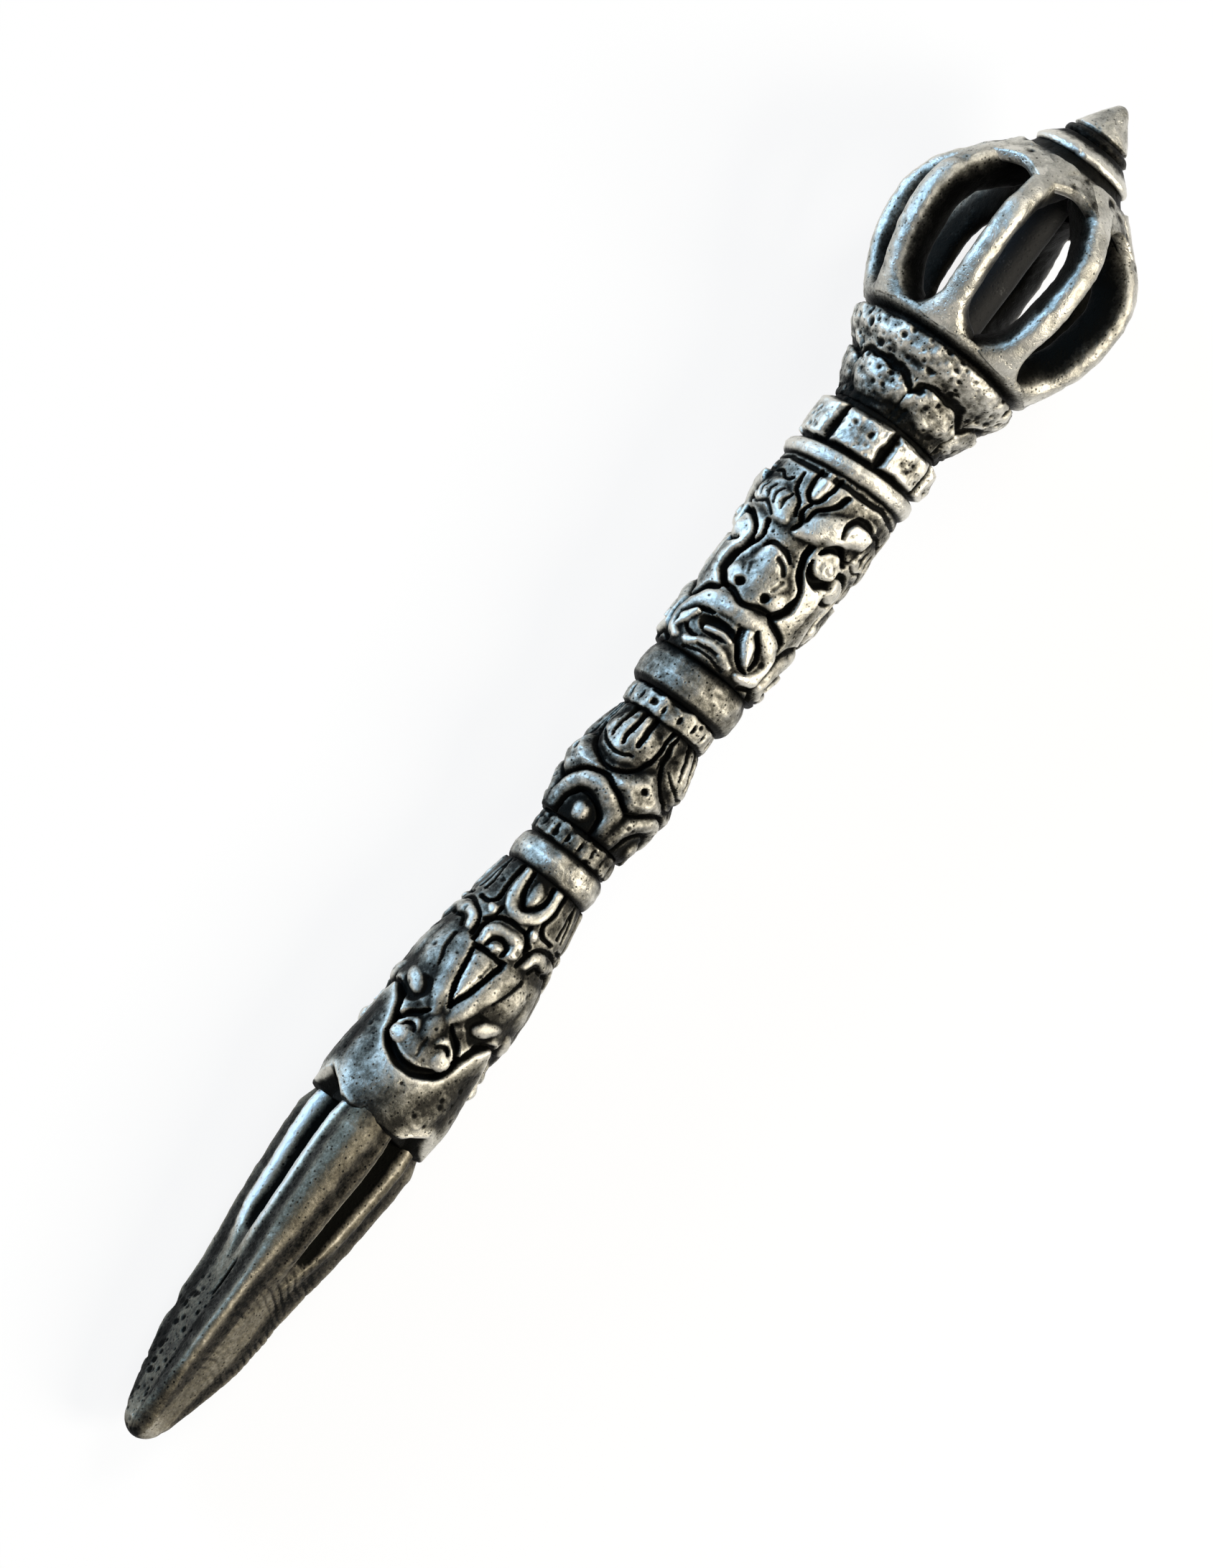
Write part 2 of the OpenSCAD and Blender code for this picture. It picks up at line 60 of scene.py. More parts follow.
# Phurba lying on a pale floor. Pieces are drawn in millimetres on the dagger's own axis, point
# down: z runs from the point to the finial, and angles are in degrees from the blade's front
# edge, growing to the right. place() puts them where the CAD model lies, in metres.
MM = 0.001

# Radius of the bore for the rod, and how dark the inside of the bore is painted, as shade
BORE = 1.45
IN_BORE = 0.8

# Where each casting ends, in mm from the blade's point
BLADE_TOP = 27.8
MONSTER_TOP = 49.3
LOWER_RING_TOP = 51.8
LOWER_BEAD_TOP = 53.7
KNOT_TOP = 63.3
UPPER_BEAD_TOP = 65.2
UPPER_RING_TOP = 68.4
DEITY_TOP = 85.2
DIADEM_TOP = 86.8
BAND_TOP = 90.5
LOTUS_TOP = 96.8
PLATE_TOP = 98.3
WAIST = 105.7
COLLAR_FOOT = 114.27
BUD_FOOT = 115.97
TOP = 119.97

# How the castings are turned on the rod
ROLL = -12.5
DEITY_TURN = -6.0
KNOT_TURN = -18.0
BLOCK_TURN = 16.0
LOTUS_TURN = 0.0
CAGE_TURN = -10.0


# The dagger's axis, read from two rings that are bodies of revolution

def middle(node):
    low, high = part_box(node)
    return (Vector(low) + Vector(high)) / 2


ring_a = (LOWER_RING_TOP + MONSTER_TOP) / 2
ring_b = (UPPER_RING_TOP + UPPER_BEAD_TOP) / 2
along = (middle("upper_ring") - middle("lower_ring")) / ((ring_b - ring_a) * MM)
AXIS = along.normalized()
POINT = middle("lower_ring") - AXIS * ring_a * MM
UP = (Vector((0, 0, 1)) - AXIS * AXIS.z).normalized()
SIDE = AXIS.cross(UP)
turned = math.radians(ROLL)
FRONT = UP * math.cos(turned) + SIDE * math.sin(turned)
RIGHT = SIDE * math.cos(turned) - UP * math.sin(turned)
TO_ROW = np.array([FRONT[:], RIGHT[:], AXIS[:]]) * MM


def place(points):
    return np.asarray(points) @ TO_ROW + np.array(POINT[:])


# Noise, the same in every run

HASH_STEPS = (73856093, 19349663, 83492791, 40503)
HASH_MIX = 1274126177
LOW_32, LOW_24 = 0xFFFFFFFF, 0xFFFFFF


def hashed(i, j, k, seed):
    """A number from 0 to 1 for each cell i, j, k, with no order to be seen in them."""
    step_i, step_j, step_k, step_seed = HASH_STEPS
    h = ((i * step_i) ^ (j * step_j) ^ (k * step_k) ^ (seed * step_seed)) & LOW_32
    h = ((h ^ (h >> 13)) * HASH_MIX) & LOW_32
    h = h ^ (h >> 16)
    return (h & LOW_24) / float(LOW_24)


def noise(points, size, seed):
    """Smooth noise from -1 to 1 whose lumps are about size mm wide."""
    p = points / size
    cell = np.floor(p).astype(np.int64)
    f = p - cell
    f = f * f * (3 - 2 * f)
    total = np.zeros(len(points))
    for corner in product((0, 1), repeat=3):
        wx, wy, wz = (f[:, n] if far else 1 - f[:, n] for n, far in enumerate(corner))
        total += hashed(*(cell + corner).T, seed) * wx * wy * wz
    return 2 * total - 1


def pits(points, spacing, share, radius, seed):
    """Depth from 0 to 1 of round casting pits: a share of the cells, spacing wide, holds one."""
    cell = np.floor(points / spacing).astype(np.int64)
    depth = np.zeros(len(points))
    for offset in product((-1, 0, 1), repeat=3):
        near = (cell + offset).T
        centre = np.stack([near[n] + hashed(*near, seed + 1 + n) for n in range(3)], 1) * spacing
        size = radius * (0.5 + hashed(*near, seed + 4))
        away = np.linalg.norm(points - centre, axis=1) / size
        here = np.clip(1 - away * away, 0, 1)
        depth = np.maximum(depth, here * (hashed(*near, seed) < share))
    return depth


# Carving: distances to curves drawn on the unrolled surface, u to the right and v up, in mm

def curve(points, samples=7):
    """Points of a smooth curve through the given ones."""
    p = np.array(points, float)
    if len(p) < 3:
        return p
    q = np.vstack([2 * p[0] - p[1], p, 2 * p[-1] - p[-2]])
    out = []
    for a, b, c, d in zip(q[:-3], q[1:-2], q[2:-1], q[3:]):
        for t in np.arange(samples) / samples:
            out.append(0.5 * (2 * b + (c - a) * t + (2 * a - 5 * b + 4 * c - d) * t * t
                              + (3 * b - a - 3 * c + d) * t ** 3))
    out.append(p[-1])
    return np.array(out)


def reach(u, v, points, width):
    """Distance to the polyline in units of its width, which may run over several values."""
    line = curve(points)
    steps = np.linspace(0, 1, len(line))
    widths = np.interp(steps, np.linspace(0, 1, np.size(width)), np.atleast_1d(width))
    best = np.full(u.shape, 9.0)
    for (a, b, wa, wb) in zip(line[:-1], line[1:], widths[:-1], widths[1:]):
        ab = b - a
        t = ((u - a[0]) * ab[0] + (v - a[1]) * ab[1]) / max(ab @ ab, 1e-9)
        t = np.clip(t, 0, 1)
        away = np.hypot(u - a[0] - t * ab[0], v - a[1] - t * ab[1])
        best = np.minimum(best, away / np.maximum(wa + (wb - wa) * t, 1e-3))
    return best


def arc_points(cu, cv, ru, rv, start, end, steps=9):
    """Points of an oval arc, its ends in degrees."""
    a = np.radians(np.linspace(start, end, steps))
    return np.stack([cu + ru * np.cos(a), cv + rv * np.sin(a)], 1)


def rounded(d, power=0.5):
    """Height at distance d of a form that is 1 high at 0 and ends at 1."""
    return np.clip(1 - d * d, 0, 1) ** power


class Carving:
    """Relief over a patch of surface, built up of bars, pads and cuts.

    While side is -1, what is drawn on the right lands on the left.
    """

    def __init__(self, u, v):
        self.u, self.v = u, v
        self.side = 1
        self.h = np.zeros(u.shape)

    def to_line(self, points, width):
        return reach(self.u * self.side, self.v, points, width)

    def to_oval(self, cu, cv, ru, rv, tilt):
        """Distance to an oval's middle, 1 on its rim, its long side turned by tilt degrees."""
        c, s = math.cos(math.radians(tilt)), math.sin(math.radians(tilt))
        du, dv = self.u * self.side - cu, self.v - cv
        return np.hypot((du * c + dv * s) / ru, (dv * c - du * s) / rv)

    def raise_to(self, base, lift):
        self.h = np.where(lift > 0, np.maximum(self.h, base + lift), self.h)

    def bar(self, points, width, height, base=0.0, power=0.5):
        """A raised round bar along a curve."""
        self.raise_to(base, height * rounded(self.to_line(points, width), power))

    def pad(self, cu, cv, ru, rv, height, tilt=0.0, power=0.5, base=0.0):
        """A raised oval."""
        self.raise_to(base, height * rounded(self.to_oval(cu, cv, ru, rv, tilt), power))

    def swell(self, cu, cv, ru, rv, height):
        """A soft rise with no edge, added to what is there."""
        self.h = self.h + height * rounded(self.to_oval(cu, cv, ru, rv, 0.0), 2)

    def cut(self, points, width, depth, power=1.0):
        """A groove along a curve, cut down from what is there."""
        self.h = self.h - depth * rounded(self.to_line(points, width), power)

    def hole(self, cu, cv, ru, rv, depth, tilt=0.0, power=1.0):
        """An oval dip, cut down from what is there."""
        self.h = self.h - depth * rounded(self.to_oval(cu, cv, ru, rv, tilt), power)


# Meshes

def blurred(field, cells):
    """A soft mean over a number of grid cells, closed round the axis and reflected at the ends."""
    span = int(math.ceil(cells * 2.5))
    x = np.arange(-span, span + 1)
    weight = np.exp(-0.5 * (x / cells) ** 2)
    weight /= weight.sum()
    wide = np.pad(field, ((0, 0), (span, span)), mode="wrap")
    out = sum(w * wide[:, i:i + field.shape[1]] for i, w in enumerate(weight))
    at_ends = "reflect" if len(out) > span else "edge"
    tall = np.pad(out, ((span, span), (0, 0)), mode=at_ends)
    return sum(w * tall[i:i + len(out)] for i, w in enumerate(weight))


def new_object(name, points, faces, patina_and_painted_light, crease, material, flat_from=None):
    """A piece, with how deep each vertex lies, far and near: the patina is darker there. On some
    pieces these values also hold painted shade and highlights.

    Faces from flat_from on are shaded flat.
    """
    mesh = bpy.data.meshes.new(name)
    mesh.from_pydata(place(points).tolist(), [], faces)
    for key, column in (("patina_and_painted_light", patina_and_painted_light), ("crease", crease)):
        layer = mesh.attributes.new(key, "FLOAT", "POINT")
        layer.data.foreach_set("value", np.asarray(column, np.float32))
    smooth = np.ones(len(mesh.polygons), bool)
    if flat_from is not None:
        smooth[flat_from:] = False
    mesh.polygons.foreach_set("use_smooth", smooth)
    mesh.update()
    mesh.validate()
    obj = bpy.data.objects.new(name, mesh)
    bpy.context.scene.collection.objects.link(obj)
    mesh.materials.append(material)
    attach(obj, "root")
    return obj


def profile(z, points):
    """Radius at z through the given (z, radius) points, a little rounded at its corners."""
    at = np.array(points, float)
    fine = np.linspace(at[0, 0], at[-1, 0], 400)
    r = np.interp(fine, at[:, 0], at[:, 1])
    kernel = np.hanning(9)
    kernel /= kernel.sum()
    r = np.convolve(np.pad(r, 4, mode="edge"), kernel, mode="valid")
    return np.interp(z, fine, r)


# How fine the meshes are, in mm: coarser while trying things
STEP = 0.1


def lean(points):
    """The diadem and the lower ring were cast a little askew: heights shift with the side."""
    diadem = 0.42 * np.exp(-((points[:, 2] - 86.6) / 3.2) ** 2)
    ring = -0.16 * np.exp(-((points[:, 2] - 50.0) / 2.2) ** 2)
    tilted = points.copy()
    tilted[:, 2] += (diadem + ring) * np.clip(points[:, 1] / 4.8, -1.2, 1.2)
    return tilted


def directions(angle):
    return np.stack([np.cos(angle), np.sin(angle)], 1)


def shell(radius, direction, z):
    """Vertices row by row, from a radius for each height and direction."""
    xy = radius[:, :, None] * direction[None, :, :]
    height = np.repeat(z[:, None], len(direction), 1)[:, :, None]
    return np.concatenate([xy, height], 2).reshape(-1, 3)


def bore_ring(direction, z):
    return np.concatenate([BORE * direction, np.full((len(direction), 1), z)], 1)


def outward(direction, rings):
    """The way out from the axis at each vertex of a number of rings."""
    return np.tile(np.column_stack([direction, np.zeros(len(direction))]), (rings, 1))


def neighbours(columns, inward):
    """Each vertex of a ring and the next one, swapped where the faces look the other way."""
    i = np.arange(columns)
    j = (i + 1) % columns
    return (j, i) if inward else (i, j)


def ring_faces(rings, columns, closed=False, inward=False):
    """Faces between rings of vertices that follow one another; closed joins last and first."""
    i, j = neighbours(columns, inward)
    faces = []
    for a in range(rings if closed else rings - 1):
        b = (a + 1) % rings
        faces.append(np.stack([a * columns + i, a * columns + j,
                               b * columns + j, b * columns + i], 1))
    return np.concatenate(faces).tolist()


def fan(centre, first, columns, inward=False):
    """Triangles from a vertex to the ring whose vertices start at first."""
    i, j = neighbours(columns, inward)
    return np.stack([np.full(columns, centre), first + i, first + j], 1).tolist()


def capped_faces(rings, columns):
    """Open rings with a fan at either end, whose two centres come after all the rings."""
    centre = rings * columns
    return (ring_faces(rings, columns) + fan(centre, 0, columns, inward=True)
            + fan(centre + 1, (rings - 1) * columns, columns))


def bar_faces(rings, columns, inward=False):
    """Open rings with one flat face at either end."""
    first = list(range(columns))
    last = list(range((rings - 1) * columns, rings * columns))
    ends = [first, last[::-1]] if inward else [first[::-1], last]
    return ring_faces(rings, columns, inward=inward) + ends


def read_off(z, table):
    """Value at z in a table of (z, value)."""
    return np.interp(z, *zip(*table))


def marks(radius, fine_cells, wide_cells, depth=0.25):
    """How deep each point of a height field lies in its surroundings, near and wide."""
    wide = np.clip((blurred(radius, wide_cells) - radius) / depth, -1, 1)
    fine = np.clip((blurred(radius, fine_cells) - radius) / (depth * 0.35), -1, 1)
    return wide, fine


def lumps(points, amount, seed):
    """The uneven skin of an old sand casting, in mm."""
    return amount * (0.055 * noise(points, 2.6, seed) + 0.038 * noise(points, 0.9, seed + 1)
                     + 0.024 * noise(points, 0.4, seed + 2))


# The eye looks on from the blade's side, so a motif in front is seen this share of its radius
# higher than it is
SEEN_HIGHER = 0.123

# How much of a casting's end is rounded off, in mm
END_ROUND = 0.3


def casting(name, foot, top, turn, folds, base, carve, material, node, width=4.9, skin=1.0,
            pitted=(), seed=1, rim=0.1, proud=1.0, wobble=0.14, worn=1.0, rubbed_and_highlit=()):
    """A casting on the rod: a surface of revolution with one relief repeated round it.

    base is its radius at each height, and width the radius on which the relief is drawn.
    skin scales the unevenness, pitted lists layers of pits (spacing, share, radius, depth),
    and rim is how far the ends are drawn in. proud scales what stands out, worn the patina's
    marks, and wobble how far the lines waver. rubbed_and_highlit lists ovals (u, v, half width,
    half height, amount) painted lighter: wear rubbed bright by hands, and painted highlights.
    """
    pitch = 2 * math.pi / folds
    per = max(6, int(round(width * pitch / STEP)))
    rows = max(4, int(round((top - foot) / STEP))) + 1
    z = np.linspace(foot, top, rows)
    phi = (np.arange(per) / per - 0.5) * pitch
    plain = profile(z - foot, base)
    u = width * np.arcsin(np.clip(plain[:, None] / width * np.sin(phi)[None, :], -0.98, 0.98))
    v = np.repeat((z - foot)[:, None], per, 1)
    inside = np.clip((z - foot) / 2, 0, 1) * np.clip((top - z) / 2, 0, 1)
    v = v + SEEN_HIGHER * inside[:, None] * plain[:, None] * np.cos(phi)[None, :]
    columns = per * folds
    radius = np.repeat(plain[:, None], columns, 1)
    angle = math.radians(turn) + np.tile(phi, folds) + np.repeat(np.arange(folds), per) * pitch
    direction = directions(angle)
    if carve:
        # the lines waver, and no two repeats are quite alike
        bare = shell(radius, direction, z)
        shift = [wobble * (noise(bare, 1.7, seed + k) + 0.45 * noise(bare, 0.7, seed + k + 1))
                 .reshape(radius.shape) for k in (21, 31)]
        relief = carve(np.tile(u, (1, folds)) + shift[0], np.tile(v, (1, folds)) + shift[1])
        radius = radius + np.where(relief > 0, proud * relief, relief)
    flat = shell(radius, direction, z)
    radius = radius + lumps(flat, skin, seed).reshape(radius.shape)
    for spacing, share, size, deep in pitted:
        dug = pits(flat, spacing, share, size, seed + 7).reshape(radius.shape)
        radius = radius - deep * dug
    wide, fine = marks(radius, 0.22 / STEP, 0.8 / STEP)
    wide, fine = worn * wide, worn * fine
    edge = np.minimum(z - foot, top - z)
    drop = np.clip(1 - edge / END_ROUND, 0, 1) ** 2
    radius = radius - rim * drop[:, None]
    # ovals painted lighter: wear rubbed bright by hands, and painted highlights
    for cu, cv, ru, rv, amount in rubbed_and_highlit:
        away = np.hypot((u - cu) / ru, (v - cv) / rv)
        wide = wide - np.tile(amount * rounded(away, 1), (1, folds))
    # the seam beside a drawn-in end is dark
    wide = np.clip(wide + min(0.9, 9 * rim) * drop[:, None], -1, 1)
    points = np.concatenate([shell(radius, direction, z), bore_ring(direction, top),
                             bore_ring(direction, foot)])
    unseen = np.full(2 * columns, IN_BORE)
    obj = new_object(name, lean(points), ring_faces(rows + 2, columns, closed=True),
                     np.concatenate([wide.ravel(), unseen]), np.concatenate([fine.ravel(), unseen]),
                     material, flat_from=(rows - 1) * columns)
    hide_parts(node)


# Reliefs. Each is drawn as it is seen, over one repeat: u to the right of its middle, and v up
# from its foot.

def deity_relief(u, v):
    c = Carving(u, v + 0.75 * np.clip((6.8 - v) / 2.6, 0, 1))
    # cheeks, chin and the locks of hair where two faces meet
    c.swell(-3.9, 7.7, 1.8, 2.6, 0.35)
    c.swell(4.1, 7.7, 1.9, 2.6, 0.35)
    c.swell(0.0, 1.0, 3.6, 1.4, 0.3)
    for c.side in (-1, 1):
        c.cut([(4.75, 0.2), (4.7, 0.9)], 0.2, 0.4)
    # open mouth, tongue, teeth and tusks
    c.hole(-0.35, 3.9, 1.7, 0.75, 0.75, power=0.5)
    c.bar([(-1.15, 3.62), (0.0, 3.75), (0.95, 3.6)], 0.3, 0.75, base=-0.6)
    c.bar([(-1.9, 1.75), (-0.9, 2.35), (-0.16, 2.5), (0.7, 2.35), (1.6, 1.75)], 0.5, 0.4,
          power=0.8)
    c.cut([(-0.9, 2.05), (0.0, 2.15), (0.6, 2.05)], 0.15, 0.35)
    c.cut([(-1.7, 1.1), (-0.2, 1.5), (1.5, 1.1)], 0.17, 0.35)
    # moustache that runs down round the mouth
    left = [(-0.16, 5.55), (-1.6, 5.4), (-2.9, 4.8), (-3.75, 3.6), (-3.7, 2.3), (-2.9, 1.5)]
    right = [(-0.16, 5.55), (1.5, 5.5), (2.9, 5.15), (4.05, 4.3), (4.35, 3.2), (3.9, 2.1),
             (2.7, 1.5)]
    c.bar(left, [0.5, 0.6, 0.62, 0.6, 0.5, 0.4], 0.5, power=0.8)
    c.bar(right, [0.5, 0.6, 0.65, 0.6, 0.55, 0.4], 0.5, power=0.8)
    c.cut([(-1.4, 4.75), (-2.3, 4.35), (-2.75, 3.4), (-2.4, 2.5), (-1.5, 2.6)], 0.18, 0.5)
    c.cut([(1.0, 4.8), (1.35, 4.0), (1.9, 3.2), (2.5, 2.5), (3.2, 2.3)], 0.2, 0.6)
    c.cut([(2.0, 5.2), (2.8, 4.5), (3.3, 3.6), (3.35, 2.8)], 0.18, 0.55)
    c.bar([(-2.35, 4.1), (-3.0, 3.1), (-3.2, 2.3)], [0.2, 0.42, 0.2], 0.55)
    c.bar([(1.75, 4.9), (2.3, 3.95), (2.75, 2.9)], [0.35, 0.55, 0.25], 0.6)
    c.cut([(-2.3, 6.0), (-3.5, 5.5), (-4.35, 4.3), (-4.5, 2.8), (-4.2, 1.6), (-3.4, 0.9)],
          0.24, 0.6)
    c.cut([(2.6, 6.1), (3.9, 5.6), (4.85, 4.5), (5.05, 3.1), (4.6, 1.7), (3.4, 0.95)], 0.24, 0.6)
    # eyes with ringed pupils under heavy lids
    c.swell(3.6, 11.3, 2.0, 1.9, 0.3)
    c.swell(-4.0, 10.4, 1.9, 1.9, 0.3)
    c.cut(arc_points(3.45, 11.25, 1.3, 1.35, 185, 375, 13), [0.15, 0.35, 0.55, 0.55, 0.25], 0.9)
    c.cut([(-5.4, 11.0), (-4.4, 11.6), (-3.2, 11.1), (-2.7, 10.2), (-2.75, 9.0)], 0.3, 0.8)
    c.cut([(-5.3, 9.4), (-4.5, 9.1), (-3.7, 9.4)], 0.3, 0.6)
    c.pad(3.6, 11.2, 0.95, 0.95, 0.6, power=0.8)
    c.pad(-4.35, 10.2, 0.9, 0.95, 0.55, power=0.8)
    c.cut(arc_points(3.7, 11.3, 0.45, 0.45, 200, 420, 13), 0.13, 0.25)
    c.bar([(-5.4, 8.4), (-4.3, 8.2), (-3.4, 8.5)], 0.4, 0.3, power=1.0)
    # nose: root, wrinkles, bulb, wings and nostrils
    c.pad(-0.35, 11.2, 1.5, 1.0, 0.5, power=1.0)
    c.bar([(-0.4, 10.4), (-0.1, 9.2), (0.0, 7.9)], [0.9, 1.5, 2.0], 0.85, power=1.1)
    c.pad(0.0, 8.0, 2.1, 1.7, 0.85, power=0.9)
    c.pad(-1.75, 7.35, 0.95, 0.95, 0.5, power=0.8)
    c.pad(1.7, 7.35, 0.95, 0.95, 0.5, power=0.8)
    c.cut([(-1.4, 10.0), (-0.8, 10.5), (0.1, 10.4), (0.9, 10.0)], [0.15, 0.3, 0.3, 0.15], 0.6)
    c.cut([(0.1, 9.7), (0.7, 9.5), (1.1, 9.1)], 0.2, 0.4)
    for c.side in (-1, 1):
        c.cut([(1.3, 8.6), (1.05, 7.7)], 0.2, 0.15)
    c.cut([(-2.15, 11.6), (-2.0, 10.5), (-2.5, 9.4), (-3.0, 8.3), (-3.0, 7.1), (-2.2, 6.3)],
          [0.3, 0.2, 0.25, 0.45, 0.5, 0.3], 0.8)
    c.cut([(1.45, 12.0), (1.6, 10.8), (2.2, 9.6), (2.95, 8.5), (3.0, 7.2), (2.3, 6.3)],
          [0.3, 0.35, 0.3, 0.25, 0.45, 0.3], 0.8)
    c.cut([(-2.3, 6.35), (-1.2, 6.3), (-0.1, 6.05), (1.0, 6.3), (2.3, 6.35)], 0.2, 0.5)
    c.hole(-1.3, 6.95, 0.42, 0.36, 0.8)
    c.hole(0.95, 6.95, 0.42, 0.36, 0.8)
    # flame brows and what curls above them
    c.bar([(0.1, 12.2), (1.3, 13.0), (2.7, 14.0), (4.0, 14.5), (5.5, 14.6)],
          [0.5, 1.0, 1.25, 1.2, 1.0], 0.8, power=0.9)
    c.bar([(-1.3, 12.4), (-2.2, 13.0), (-3.5, 13.4), (-5.3, 13.2)], [0.5, 1.1, 1.4, 1.2], 0.45,
          power=0.9)
    for k in range(5):
        c.cut([(-1.9 - 0.75 * k, 14.3 - 0.1 * k), (-2.1 - 0.75 * k, 13.5),
               (-1.8 - 0.75 * k, 12.8 + 0.06 * k)], [0.1, 0.2, 0.1], 0.3)
    c.cut([(2.3, 11.9), (2.9, 12.7), (3.8, 12.9), (4.5, 12.4), (5.3, 12.5)], [0.2, 0.4, 0.3, 0.3],
          0.8)
    c.cut([(-2.2, 12.2), (-3.2, 12.7), (-4.2, 12.4), (-5.2, 12.6)], 0.15, 0.3)
    c.cut([(2.9, 13.7), (2.75, 14.5), (3.2, 15.2), (4.3, 15.3), (5.2, 14.9)], [0.2, 0.34, 0.3, 0.2],
          0.7)
    c.cut([(-2.6, 15.3), (-3.2, 14.9), (-3.9, 15.3), (-4.7, 15.1)], 0.14, 0.35)
    c.cut([(0.2, 13.2), (0.5, 14.1), (1.2, 14.9), (1.6, 15.9)], 0.2, 0.5)
    c.cut([(-0.75, 13.1), (-1.2, 14.0), (-1.9, 14.8), (-2.2, 15.8)], 0.17, 0.45)
    c.cut([(-0.25, 14.2), (-0.5, 13.5), (-0.1, 12.9), (-0.3, 12.3)], 0.2, 0.5)
    c.cut([(-1.2, 16.4), (-1.1, 15.2), (-0.37, 14.45), (0.35, 15.2), (0.45, 16.4)], 0.22, 0.5)
    c.bar([(-0.37, 16.4), (-0.37, 15.5), (-0.37, 14.95)], [0.3, 0.52, 0.3], 0.35)
    c.cut([(-5.2, 16.35), (5.2, 16.35)], 0.2, 0.3)
    return c.h


